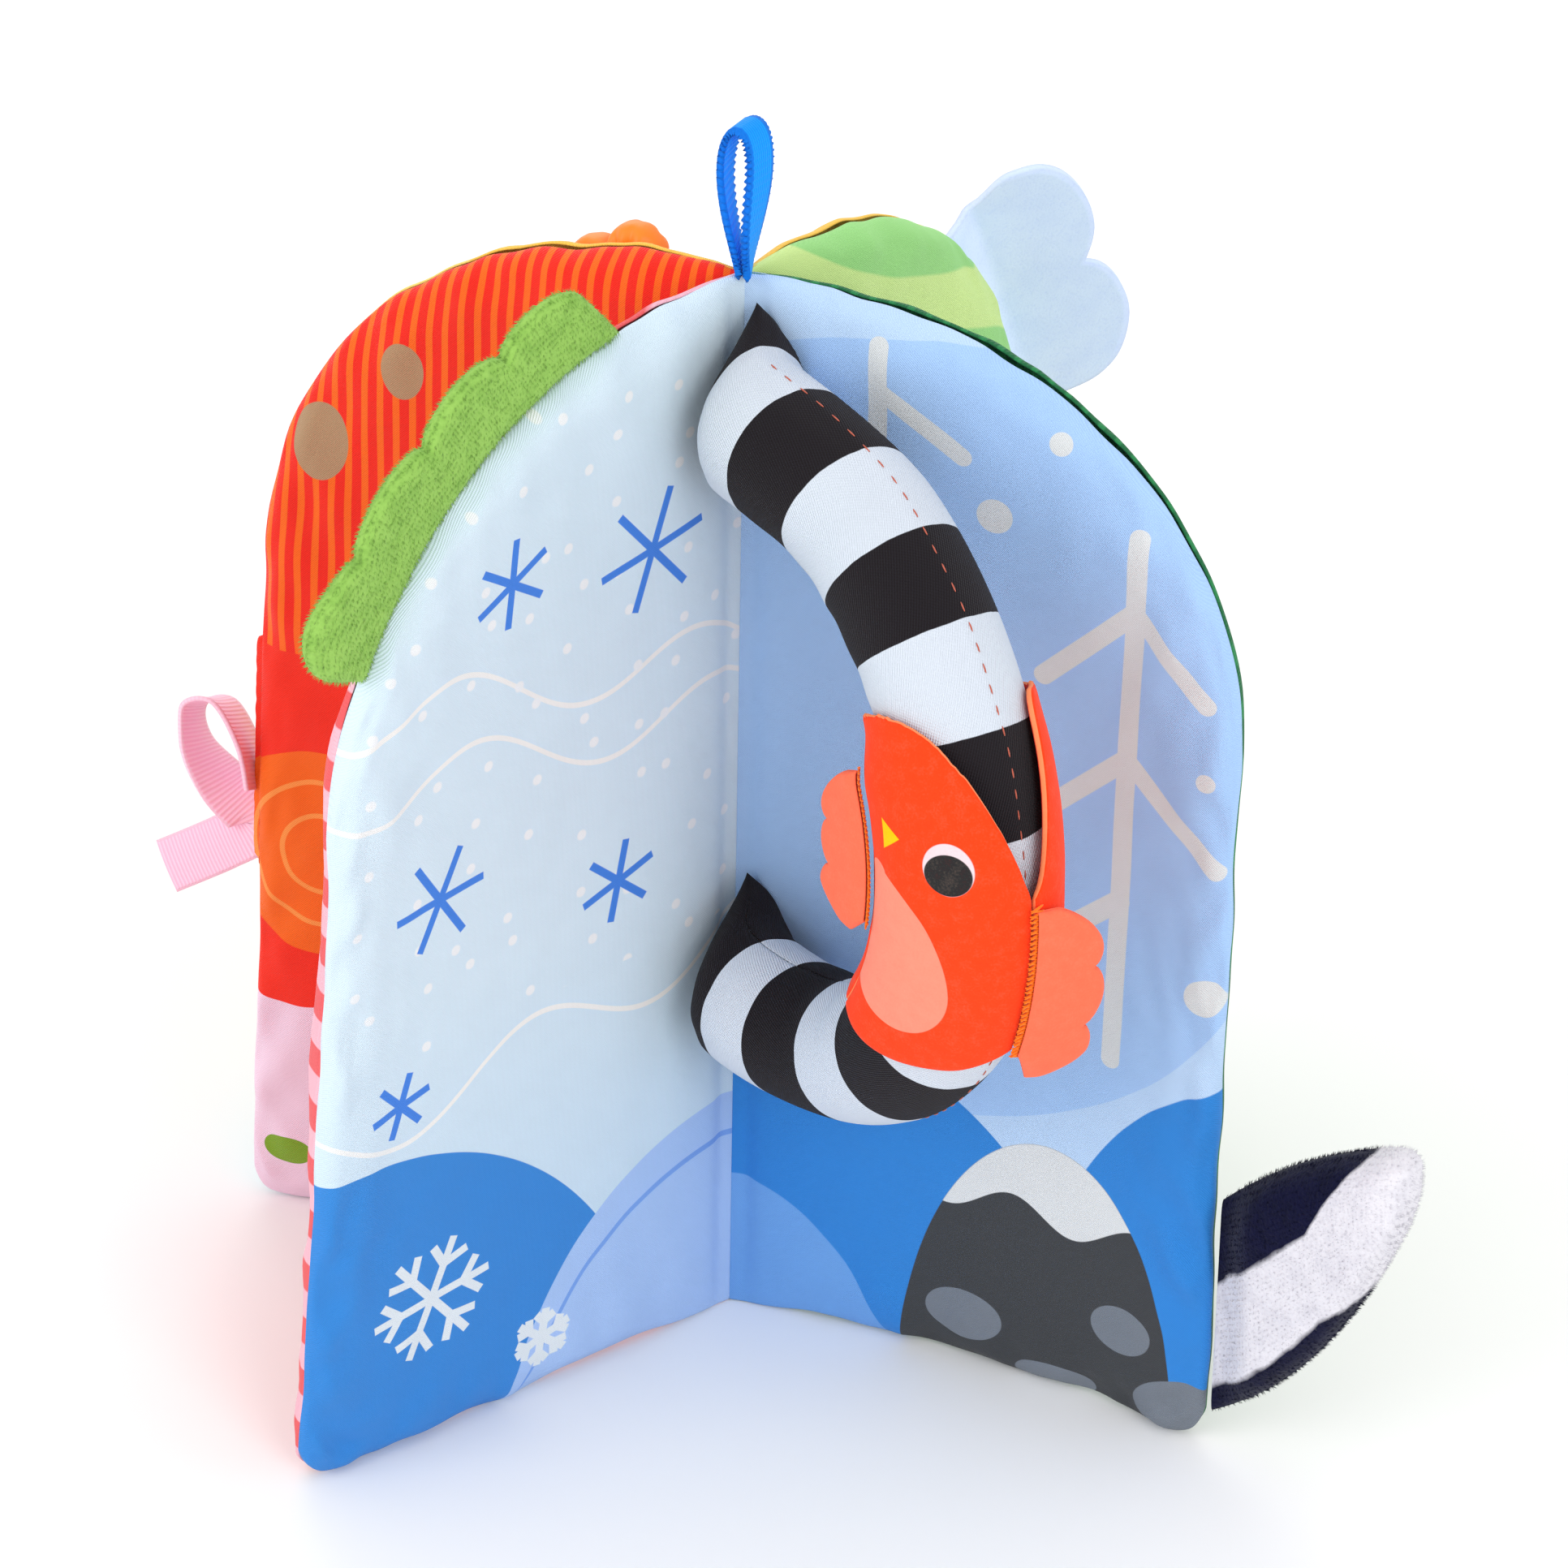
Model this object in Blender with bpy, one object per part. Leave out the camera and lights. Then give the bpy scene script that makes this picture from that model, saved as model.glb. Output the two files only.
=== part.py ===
"""Baby soft book: four padded cloth leaves that stand round one sewn spine.

Metres, +Z up, the spine on the Z axis and its foot at the origin. The winter
spread, made by the two front leaves, looks towards -Y.
"""

import math

import bmesh
import bpy
from mathutils import Vector

# Whole book
SPINE_HEIGHT = 0.210
LEAF_WIDTH = 0.092
FOOT_WIDTH = 0.094
SHOULDER_HEIGHT = 0.134
CORNER_RADIUS = 0.008
CROWN_POWER = 2.13

# Cloth, padding and fits
CLOTH = 0.0006
GAP = 0.0003
SEAM_HALF = 0.0008
PUFF_HALF = 0.0034
PUFF_RISE = 0.012
SPINE_RISE = 0.014
CRINKLE_FILM = 0.0002
SEWN_GAP = 0.0006
MERGE = 0.00001
SHARE_STEP = 0.005
SMOOTH_ANGLE = 50.0

# Spine seam: cloth edges gathered into stitched folds, one towards each leaf and the tube
SPINE_RADIUS = 0.0033
SPINE_VALLEY = 0.0019
SPINE_FOLD_SPREAD = 26.0
SPINE_SIDES = 48
SPINE_TOP_DROP = 0.0012
LEAF_START = SPINE_RADIUS + GAP

# Leaves: each turns about the spine by its degrees, bows sideways and leans at its free side
LEAN_PIVOT_SHARE = 0.4
FRONT_LEFT_BOW = -0.0019
FRONT_RIGHT_BOW = 0.0047
BACK_RIGHT_BOW = -0.0016
BACK_LEFT_BOW = -0.0040
FRONT_LEFT_LEAN = 0.0164
FRONT_RIGHT_LEAN = 0.0065
BACK_RIGHT_LEAN = 0.0028
BACK_LEFT_LEAN = -0.0106
FRONT_LEFT_TURN = -139.3
FRONT_RIGHT_TURN = -23.7
BACK_RIGHT_TURN = 58.4
BACK_LEFT_TURN = 156.8
LEAF_COLUMNS = 12
LEAF_ROWS = 8

# Striped stuffed tube, sewn into the spine at both ends
TUBE_TURN = -57.0
TUBE_RADIUS = 0.0125
TUBE_BEND = 0.056
TUBE_LEAD = 0.017
TUBE_MIDDLE = 0.128
TUBE_START = LEAF_START + GAP
TUBE_END_HALF = 0.0012
TUBE_TAPER = 0.036
TUBE_SIDES = 16
TUBE_STATIONS = 30
STUFFING_INSET = 4

# Felt bird, a sleeve of two sheets round the tube. Angles in degrees
FELT = 0.0013
SLEEVE_CLEARANCE = 0.0005
SLEEVE_SEAM_BULGE = 0.0025
SLEEVE_TIGHT_ARC = 14.0
BIRD_LEFT_SEAM = -120.0
BIRD_RIGHT_SEAM = 0.0
BIRD_TAIL_LEFT = 34.0
BIRD_TAIL_RIGHT = 20.0
BIRD_CREST = -36.0
BIRD_COLLAR = -5.0
BIRD_NAPE = -32.0
BIRD_NAPE_RISE_SHARE = 0.16
BIRD_RIM_POWER = 3.0
BIRD_HEM_POWER = 1.7
BIRD_COLUMNS = 16
WING_WIDTH = 0.0135
WING_HALF = 0.0011
WING_ROOT_HALF = 0.0005
WING_SWEEP = 6.0
WING_LOBES = 3
WING_NOTCH_SHARE = 0.2
WING_TOP_ROUND_SHARE = 0.4
WING_FOOT_ROUND_SHARE = 0.2
WING_TIP_SHARE = 0.05
WING_SEAM_SHARE = 0.33
RIGHT_WING_TOP = -4.0
RIGHT_WING_FOOT = 20.0
RIGHT_WING_FOLD = 80.0
LEFT_WING_TOP = -26.0
LEFT_WING_FOOT = 8.0
LEFT_WING_FOLD = -60.0

# Plush tail, sewn into the front right leaf's free edge
TAIL_TURN = -35.0
TAIL_FOOT = 0.006
TAIL_HEEL = 0.051
TAIL_REACH = 0.038
TAIL_TIP_LOW = 0.066
TAIL_TIP_HIGH = 0.075
TAIL_HALF = 0.0065
TAIL_ROOT_HALF = 0.0005
PLUSH = 0.0014
TAIL_LOW_BEND_SHARES = (0.68, 0.29)
TAIL_HIGH_BEND_SHARES = (0.45, 0.78)
TAIL_ROUND_SHARE = 0.25
TAIL_CELLS = 10

# Plush hedge, sewn into the front left leaf's crown
HEDGE_START_SHARE = 0.15
HEDGE_END_SHARE = 0.75
HEDGE_WIDTH_TOP = 0.0140
HEDGE_WIDTH_FOOT = 0.0190
HEDGE_NOTCH = 0.0040
HEDGE_LOBES = 4
HEDGE_HALF = 0.0021
HEDGE_ROUND_SHARE = 0.125
HEDGE_FOOT_SHARE = 0.45
HEDGE_RIM_SHARE = 0.33
HEDGE_LOBE_CELLS = 7
HEDGE_ROWS = 5

# Two-lobed tab, sewn into the back right leaf's crown and creased beyond it. Its outline is
# laid out along the root's chord and beyond it
TAB_START_SHARE = 0.53
TAB_END_SHARE = 0.90
TAB_HALF = 0.0007
TAB_CREASE = 0.006
TAB_BEND = 40.0
TAB_UPPER_LOBE = (0.0125, 0.0135)
TAB_UPPER_RADIUS = 0.014
TAB_UPPER_ARC = (185.0, 60.0)
TAB_NOTCH = (0.0292, 0.0222)
TAB_LOWER_LOBE = (0.046, 0.013)
TAB_LOWER_RADIUS = 0.015
TAB_LOWER_ARC = (120.0, -5.0)
TAB_ARC_SIDES = 14
TAB_ROOT_SIDES = 8

# Grosgrain ribbon, looped and sewn into the back left leaf's side
RIBBON_WIDTH = 0.010
RIBBON_HALF = 0.0004
RIBBON_HEIGHT = 0.080
RIBBON_SPAN = 0.020
RIBBON_TWIST = 75.0
RIBBON_TWIST_START_SHARE = 0.6
RIBBON_TWIST_RUN_SHARE = 0.25
RIBBON_CELLS = 40
RIBBON_ROUTE_SHARES = (
    (0.00, 0.30),
    (0.12, 0.70),
    (0.36, 1.12),
    (0.66, 0.92),
    (0.50, 0.45),
    (0.24, 0.12),
    (0.20, -0.18),
    (0.34, -0.42),
    (0.60, -0.66),
    (0.92, -0.90),
)

# Hanging loop of woven tape on top of the spine
LOOP_TAPE_WIDTH = 0.0065
LOOP_TAPE = 0.0012
LOOP_RISE = 0.0275
LOOP_HALF_WIDTH = 0.0052
LOOP_TURN = 35.0
LOOP_FOOT_LIFT = 0.0008
LOOP_STEM_POWER = 1.6
LOOP_CELLS = 32

# Rubber flower on the back left leaf's summer page, and the cord knot that holds it
FLOWER_PETALS = 6
FLOWER_RADIUS = 0.0145
FLOWER_VALLEY = 0.0105
FLOWER_HALF = 0.0035
FLOWER_HOLE = 0.0026
FLOWER_OUT = 0.025
FLOWER_DROP = 0.001
FLOWER_LOBE_POWER = 0.7
FLOWER_GROOVE_SHARE = 0.22
FLOWER_RIM_SHARE = 0.33
FLOWER_EDGE_SHARE = 0.2
FLOWER_PETAL_SIDES = 8
FLOWER_RINGS = 5
KNOT_SHANK = 0.0021
KNOT_HEAD = 0.0046
KNOT_HEAD_THICK = 0.0016
KNOT_TOP_SHARE = 0.7
KNOT_SIDES = 12

UP = Vector((0, 0, 1))


def direction(degrees):
    """A level unit vector, turned from +X about +Z."""
    turn = math.radians(degrees)
    return Vector((math.cos(turn), math.sin(turn), 0))


def ramp(share):
    """A quarter-round rise from 0 to 1, as a padded edge has."""
    inside = min(max(share, 0), 1)
    return math.sqrt(1 - (1 - inside) ** 2)


def smooth(share):
    """A soft step from 0 to 1."""
    inside = min(max(share, 0), 1)
    return inside * inside * (3 - 2 * inside)


def mix(first, second, share):
    return first * (1 - share) + second * share


def bezier(first, bend, last, share):
    """A point on the quadratic curve that leaves first towards bend and ends at last."""
    return mix(mix(first, bend, share), mix(bend, last, share), share)


# Finish and placing of every piece


def finish(name, mesh_data, color, roughness, origin=Vector((0, 0, 0)), flat=False):
    """Turns a bmesh in world space into one object whose origin is on its joint or seat."""
    bmesh.ops.recalc_face_normals(mesh_data, faces=mesh_data.faces[:])
    if mesh_data.calc_volume(signed=True) < 0:
        bmesh.ops.reverse_faces(mesh_data, faces=mesh_data.faces[:])
    bmesh.ops.translate(mesh_data, verts=mesh_data.verts[:], vec=-origin)
    mesh = bpy.data.meshes.new(name)
    mesh_data.to_mesh(mesh)
    mesh_data.free()
    if not flat:
        mesh.shade_smooth()
        mesh.set_sharp_from_angle(angle=math.radians(SMOOTH_ANGLE))
    material = bpy.data.materials.new(name)
    material.use_nodes = True
    shader = material.node_tree.nodes["Principled BSDF"]
    shader.inputs["Base Color"].default_value = (*color, 1)
    shader.inputs["Roughness"].default_value = roughness
    shader.inputs["Metallic"].default_value = 0
    mesh.materials.append(material)
    piece = bpy.data.objects.new(name, mesh)
    piece.location = origin
    bpy.context.scene.collection.objects.link(piece)
    return piece


def sheet(columns, rows, over, under):
    """A closed sheet: a unit grid is extruded, then its two faces go where over and under say."""
    data = bmesh.new()
    bmesh.ops.create_grid(data, x_segments=columns, y_segments=rows, size=0.5)
    bmesh.ops.triangulate(data, faces=data.faces[:], quad_method="FIXED")
    place_faces(data, over, under, lambda point: (point.x + 0.5, point.y + 0.5))
    return data


def sleeve(sides, stations, outer, inner):
    """A closed-wall sleeve, open at both ends: the same, from a unit cylinder."""
    data = unit_cylinder(sides, stations, False)
    place_faces(data, outer, inner, cylinder_shares)
    return data


def unit_cylinder(sides, stations, capped):
    data = bmesh.new()
    bmesh.ops.create_cone(data, cap_ends=capped, segments=sides, radius1=1, radius2=1, depth=1)
    upright = [edge for edge in data.edges if abs(edge.verts[0].co.z - edge.verts[1].co.z) > 0.5]
    bmesh.ops.subdivide_edges(data, edges=upright, cuts=stations - 1, use_grid_fill=True)
    walls = [face for face in data.faces if len(face.verts) == 4]
    bmesh.ops.triangulate(data, faces=walls, quad_method="FIXED")
    return data


def cylinder_shares(point):
    return point.z + 0.5, math.atan2(point.y, point.x)


def place_faces(data, over, under, shares):
    walls = bmesh.ops.extrude_face_region(data, geom=data.faces[:], use_keep_orig=True)
    raised = {item for item in walls["geom"] if isinstance(item, bmesh.types.BMVert)}
    for vertex in data.verts:
        place = over if vertex in raised else under
        vertex.co = place(*shares(vertex.co))


def turned_solid(profile, sides):
    """A solid of revolution about Z, from a profile of (radius, height) points."""
    data = bmesh.new()
    points = [data.verts.new((radius, 0, height)) for radius, height in profile]
    edges = [data.edges.new(pair) for pair in zip(points, points[1:])]
    bmesh.ops.spin(
        data,
        geom=points + edges,
        cent=(0, 0, 0),
        axis=UP,
        angle=2 * math.pi,
        steps=sides,
        use_merge=True,
    )
    bmesh.ops.remove_doubles(data, verts=data.verts[:], dist=MERGE)
    return data


# Leaves


def crown(share):
    """(distance from the spine, height) on the crown, from the spine's top to the shoulder."""
    turn = share * math.pi / 2
    reach = LEAF_WIDTH - LEAF_START
    rise = SPINE_HEIGHT - SHOULDER_HEIGHT
    out = LEAF_START + reach * math.sin(turn) ** (2 / CROWN_POWER)
    return out, SHOULDER_HEIGHT + rise * max(math.cos(turn), 0) ** (2 / CROWN_POWER)


def crown_outward(share):
    """The crown's unit normal, as (out, up)."""
    before = Vector(crown(max(share - SHARE_STEP, 0)))
    after = Vector(crown(min(share + SHARE_STEP, 1)))
    along = (after - before).normalized()
    return -along.y, along.x


def side(height):
    """How far the leaf's free side stands from the spine."""
    return LEAF_WIDTH + (FOOT_WIDTH - LEAF_WIDTH) * max(0, 1 - height / SHOULDER_HEIGHT)


def outline_grid(column_share, row_share):
    """(out, up) of a point of the leaf, in columns that follow the crown and the round corner."""
    out, top = crown(column_share)
    over = max(0, out - (LEAF_WIDTH - CORNER_RADIUS))
    low = CORNER_RADIUS - math.sqrt(max(CORNER_RADIUS**2 - over**2, 0))
    up = mix(low, top, (1 - math.cos(math.pi * row_share)) / 2)
    widened = (side(up) - LEAF_START) / (LEAF_WIDTH - LEAF_START)
    return LEAF_START + (out - LEAF_START) * widened, up


def puff(out, up):
    """Half the leaf's thickness: thin at its seams, full inside them."""
    rise = max(0, up - SHOULDER_HEIGHT)
    run = max(0, out - LEAF_START)
    shares = run / (side(up) - LEAF_START), rise / (SPINE_HEIGHT - SHOULDER_HEIGHT)
    share = sum(value**CROWN_POWER for value in shares) ** (1 / CROWN_POWER)
    inset = (1 - share) * math.hypot(run, rise) / share if share > 0 else PUFF_RISE
    rises = ramp(inset / PUFF_RISE) * ramp(up / PUFF_RISE) * ramp(run / SPINE_RISE)
    return SEAM_HALF + (PUFF_HALF - SEAM_HALF) * rises


class Leaf:
    """One leaf's middle surface, which bows and leans a little as soft pages do."""

    def __init__(self, turn, bow, lean):
        self.out = direction(turn)
        self.face = UP.cross(self.out)
        self.bow = bow
        self.lean = lean

    def at(self, out, up, off=0):
        share = min(out / LEAF_WIDTH, 1)
        bowed = self.bow * 4 * share * (1 - share)
        leant = self.lean * share**2 * (up / SPINE_HEIGHT - LEAN_PIVOT_SHARE)
        return self.out * out + UP * up + self.face * (off + bowed + leant)

    def tangent(self, out, up):
        """The level direction in which the leaf's surface runs outwards there."""
        step = CLOTH
        return (self.at(out + step, up) - self.at(out - step, up)).normalized()

    def layer(self, name, over, under, trim, color, roughness):
        """A layer of the leaf between two heights over its middle, with border cells left off."""
        first, last = trim, LEAF_COLUMNS - 2 * trim - (1 if trim else 0)
        rows = LEAF_ROWS - 2 * trim

        def place(height):
            def point(column, row):
                column_share = (first + column * last) / LEAF_COLUMNS
                row_share = (trim + row * rows) / LEAF_ROWS
                out, up = outline_grid(column_share, row_share)
                return self.at(out, up, height(puff(out, up)))

            return point

        data = sheet(last, rows, place(over), place(under))
        return finish(name, data, color, roughness)


def page(leaf, name, facing, color):
    """One printed cloth face of a leaf; it turns over the edge to the middle of the seam."""
    leaf.layer(
        name,
        lambda puffed: facing * puffed,
        lambda puffed: facing * max(puffed - CLOTH, GAP / 2),
        0,
        color,
        0.7,
    )


def padding(leaf, name, film_facing=0):
    """The batting inside a leaf. Where the leaf crinkles, a film lies under one page."""
    room = CLOTH + GAP
    film = CRINKLE_FILM + GAP
    leaf.layer(
        name + "_batting",
        lambda puffed: puffed - room - (film if film_facing > 0 else 0),
        lambda puffed: room - puffed + (film if film_facing < 0 else 0),
        1,
        (0.9, 0.9, 0.88),
        0.95,
    )
    if film_facing:
        leaf.layer(
            name + "_crinkle_film",
            lambda puffed: film_facing * (puffed - room),
            lambda puffed: film_facing * (puffed - room - CRINKLE_FILM),
            1,
            (0.85, 0.87, 0.9),
            0.2,
        )


def spine_seam(seams):
    """The stitched seam that the leaves and the tube share, with a fold towards each of them."""
    data = bmesh.new()
    bmesh.ops.create_cone(
        data, cap_ends=True, segments=SPINE_SIDES, radius1=1, radius2=1, depth=1
    )
    for vertex in data.verts:
        around = Vector((vertex.co.x, vertex.co.y, 0)).normalized()
        apart = min(math.degrees(around.angle(seam)) for seam in seams)
        radius = mix(SPINE_RADIUS, SPINE_VALLEY, smooth(apart / SPINE_FOLD_SPREAD))
        height = (vertex.co.z + 0.5) * (SPINE_HEIGHT - SPINE_TOP_DROP)
        vertex.co = around * radius + UP * height
    finish("spine_seam", data, (0.15, 0.35, 0.8), 0.8, flat=True)


# Striped tube


class Tube:
    """The tube's route: a lead out of the spine, a half circle, and a lead back."""

    out = direction(TUBE_TURN)
    face = UP.cross(direction(TUBE_TURN))
    centre = out * TUBE_LEAD + UP * TUBE_MIDDLE
    lead = TUBE_LEAD - TUBE_START
    length = 2 * lead + math.pi * TUBE_BEND

    @classmethod
    def arc(cls, degrees):
        """The level-to-down radial direction of the half circle, 0 at its outermost."""
        turn = math.radians(degrees)
        return cls.out * math.cos(turn) - UP * math.sin(turn)

    @classmethod
    def frame(cls, run):
        """(middle, radial direction) at a distance along the tube."""
        if run < cls.lead:
            return cls.out * (TUBE_START + run) + UP * (TUBE_MIDDLE + TUBE_BEND), UP
        if run > cls.length - cls.lead:
            back = TUBE_START + cls.length - run
            return cls.out * back + UP * (TUBE_MIDDLE - TUBE_BEND), -UP
        radial = cls.arc(math.degrees((run - cls.lead) / TUBE_BEND) - 90)
        return cls.centre + radial * TUBE_BEND, radial

    @classmethod
    def surface(cls, run, turn, inset):
        """A point on the tube's oval, which is flat where it is sewn into the spine."""
        middle, radial = cls.frame(run)
        full = smooth(min(run, cls.length - run) / TUBE_TAPER)
        thick = mix(TUBE_END_HALF, TUBE_RADIUS, full)
        tall = math.sqrt(2 * TUBE_RADIUS**2 - thick**2)
        across = radial * math.cos(turn) * (tall - inset)
        return middle + across + cls.face * math.sin(turn) * (thick - inset)


def striped_tube():
    data = sleeve(
        TUBE_SIDES,
        TUBE_STATIONS,
        lambda share, turn: Tube.surface(share * Tube.length, turn, 0),
        lambda share, turn: Tube.surface(share * Tube.length, turn, CLOTH),
    )
    finish("striped_tube_cover", data, (0.85, 0.85, 0.88), 0.7)
    stations = TUBE_STATIONS - 2 * STUFFING_INSET
    data = unit_cylinder(TUBE_SIDES, stations, True)
    for vertex in data.verts:
        share, turn = cylinder_shares(vertex.co)
        run = (STUFFING_INSET + share * stations) / TUBE_STATIONS * Tube.length
        vertex.co = Tube.surface(run, turn, CLOTH + GAP)
    finish("striped_tube_stuffing", data, (0.92, 0.92, 0.9), 0.95)


# Felt bird


def sleeve_radius(turn, arc):
    """The felt sleeve's inner radius: drawn out to its two side seams, and tight at its crest."""
    seams = (BIRD_LEFT_SEAM, BIRD_RIGHT_SEAM)
    near = sum(max(math.cos(turn - math.radians(seam)), 0) ** 4 for seam in seams)
    slack = smooth((arc - BIRD_CREST) / SLEEVE_TIGHT_ARC)
    return TUBE_RADIUS + SLEEVE_CLEARANCE + SLEEVE_SEAM_BULGE * near * slack


def round_tube(arc, turn, radius):
    """A point round the bent tube, at a place along its arc and a turn about its middle."""
    radial = Tube.arc(arc)
    middle = Tube.centre + radial * TUBE_BEND
    return middle + (radial * math.cos(turn) + Tube.face * math.sin(turn)) * radius


def bird_felt(name, first_seam, last_seam, hem, rim):
    """One felt sheet of the bird's body, from its tail hem to its cut rim."""
    shrink = math.degrees(GAP / TUBE_RADIUS)

    def place(extra):
        def point(around, along):
            degrees = mix(first_seam + shrink, last_seam - shrink, around)
            turn = math.radians(degrees)
            arc = mix(hem(around), rim(around), along)
            return round_tube(arc, turn, sleeve_radius(turn, arc) + extra)

        return point

    data = sheet(BIRD_COLUMNS, BIRD_COLUMNS // 2, place(FELT), place(0))
    finish(name, data, (0.9, 0.12, 0.03), 0.9, origin=Tube.centre)


def bird_body():
    bird_felt(
        "bird_front_felt",
        BIRD_LEFT_SEAM,
        BIRD_RIGHT_SEAM,
        lambda share: mix(BIRD_TAIL_LEFT, BIRD_TAIL_RIGHT, share**BIRD_HEM_POWER),
        lambda share: mix(BIRD_CREST, BIRD_COLLAR, share**BIRD_RIM_POWER),
    )
    bird_felt(
        "bird_back_felt",
        BIRD_RIGHT_SEAM,
        BIRD_LEFT_SEAM + 360,
        lambda share: mix(BIRD_TAIL_RIGHT, BIRD_TAIL_LEFT, smooth(share)),
        lambda share: mix(
            BIRD_COLLAR,
            mix(BIRD_NAPE, BIRD_CREST, share),
            smooth(share / BIRD_NAPE_RISE_SHARE),
        ),
    )


def wing_root(turn, arc):
    return sleeve_radius(turn, arc) + FELT + SEWN_GAP + WING_ROOT_HALF


def wing_axis(seam, top, foot):
    """(point, direction) of the stitched line on which a wing flaps."""
    turn = math.radians(seam)
    radius = wing_root(turn, (top + foot) / 2)
    ends = (round_tube(top, turn, radius), round_tube(foot, turn, radius))
    middle = round_tube((top + foot) / 2, turn, radius)
    return mix(mix(*ends, 0.5), middle, 0.5), (ends[1] - ends[0]).normalized()


def bird_wing(name, seam, top, foot, fold, color):
    """A scalloped double-felt wing, folded back from its side seam."""
    turn = math.radians(seam)
    folded = math.radians(fold)

    def place(facing):
        def point(along, outward):
            lobe = math.sqrt(abs(math.sin(math.pi * WING_LOBES * along)))
            top_round = ramp(along / WING_TOP_ROUND_SHARE + WING_TIP_SHARE)
            foot_round = ramp((1 - along) / WING_FOOT_ROUND_SHARE + WING_TIP_SHARE)
            reach = WING_WIDTH * mix(1, lobe, WING_NOTCH_SHARE) * top_round * foot_round
            arc = mix(top, foot, along) + WING_SWEEP * outward * along
            thick = mix(WING_ROOT_HALF, WING_HALF, smooth(outward / WING_SEAM_SHARE))
            radial = Tube.arc(arc) * math.cos(turn) + Tube.face * math.sin(turn)
            across = Tube.face * math.cos(turn) - Tube.arc(arc) * math.sin(turn)
            away = radial * math.cos(folded) + across * math.sin(folded)
            facing_away = across * math.cos(folded) - radial * math.sin(folded)
            seat = round_tube(arc, turn, wing_root(turn, arc))
            return seat + away * reach * outward + facing_away * facing * thick

        return point

    data = sheet(24, 3, place(1), place(-1))
    pivot, _ = wing_axis(seam, top, foot)
    finish(name, data, color, 0.9, origin=pivot)


# Trims sewn into the leaves' edges


def tail_axis(leaf):
    """(point, direction) of the seam on which the tail swings."""
    foot = leaf.at(side(TAIL_FOOT), TAIL_FOOT)
    heel = leaf.at(side(TAIL_HEEL), TAIL_HEEL)
    return mix(foot, heel, 0.5), (heel - foot).normalized()


def tail(leaf):
    """Two plush faces over stuffing, swept up to a blunt tip beyond the leaf's side."""
    away = direction(TAIL_TURN)
    facing = UP.cross(away)
    low_bend = Vector((TAIL_REACH * TAIL_LOW_BEND_SHARES[0], 0))
    low_bend.y = mix(TAIL_FOOT, TAIL_TIP_LOW, TAIL_LOW_BEND_SHARES[1])
    high_bend = Vector((TAIL_REACH * TAIL_HIGH_BEND_SHARES[0], 0))
    high_bend.y = mix(TAIL_HEEL, TAIL_TIP_HIGH, TAIL_HIGH_BEND_SHARES[1])
    tip_low = Vector((TAIL_REACH, TAIL_TIP_LOW))
    tip_high = Vector((TAIL_REACH - CLOTH, TAIL_TIP_HIGH))

    def point_at(along, across, height):
        low = bezier(Vector((0, TAIL_FOOT)), low_bend, tip_low, along)
        high = bezier(Vector((0, TAIL_HEEL)), high_bend, tip_high, along)
        out, up = mix(low, high, across)
        sides = ramp(across / TAIL_ROUND_SHARE) * ramp((1 - across) / TAIL_ROUND_SHARE)
        ends = ramp((1 - along) / TAIL_ROUND_SHARE) * smooth(along / TAIL_ROUND_SHARE)
        half = mix(TAIL_ROOT_HALF, TAIL_HALF, sides * ends)
        seat = leaf.at(side(up), up) + away * (SEWN_GAP + out)
        return seat + facing * height(half)

    def part(name, over, under, trim, color):
        count = TAIL_CELLS - 2 * trim

        def place(height):
            def point(column, row):
                along = (trim + column * count) / TAIL_CELLS
                across = (trim + row * count) / TAIL_CELLS
                return point_at(along, across, height)

            return point

        pivot = tail_axis(leaf)[0]
        finish(name, sheet(count, count, place(over), place(under)), color, 0.95, origin=pivot)

    navy = (0.01, 0.012, 0.04)
    part("tail_front_plush", lambda h: -h, lambda h: -max(h - PLUSH, GAP / 2), 0, navy)
    part("tail_back_plush", lambda h: h, lambda h: max(h - PLUSH, GAP / 2), 0, navy)
    room = PLUSH + GAP
    part("tail_stuffing", lambda h: h - room, lambda h: room - h, 2, (0.92, 0.92, 0.9))


def hedge(leaf):
    """A scalloped plush strip along the crown."""

    def place(facing):
        def point(along, outward):
            crown_share = mix(HEDGE_START_SHARE, HEDGE_END_SHARE, along)
            out, up = crown(crown_share)
            normal = crown_outward(crown_share)
            lobe = math.sqrt(abs(math.sin(math.pi * HEDGE_LOBES * along)))
            width = mix(HEDGE_WIDTH_TOP, HEDGE_WIDTH_FOOT, along) - HEDGE_NOTCH * (1 - lobe)
            foot_round = ramp((1 - along) / HEDGE_ROUND_SHARE)
            reach = GAP + width * mix(HEDGE_FOOT_SHARE, 1, foot_round) * outward
            rim = ramp((1 - outward) / HEDGE_RIM_SHARE) * ramp(outward / HEDGE_RIM_SHARE)
            ends = ramp(along / HEDGE_ROUND_SHARE) * foot_round
            thick = mix(SEAM_HALF, HEDGE_HALF, rim * ends)
            return leaf.at(out + normal[0] * reach, up + normal[1] * reach, facing * thick)

        return point

    data = sheet(HEDGE_LOBES * HEDGE_LOBE_CELLS, HEDGE_ROWS, place(1), place(-1))
    finish("green_hedge", data, (0.3, 0.55, 0.13), 0.95)


def arc_points(middle, radius, start, end):
    for index in range(TAB_ARC_SIDES + 1):
        turn = math.radians(mix(start, end, index / TAB_ARC_SIDES))
        yield middle + Vector((math.cos(turn), math.sin(turn))) * radius


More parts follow.
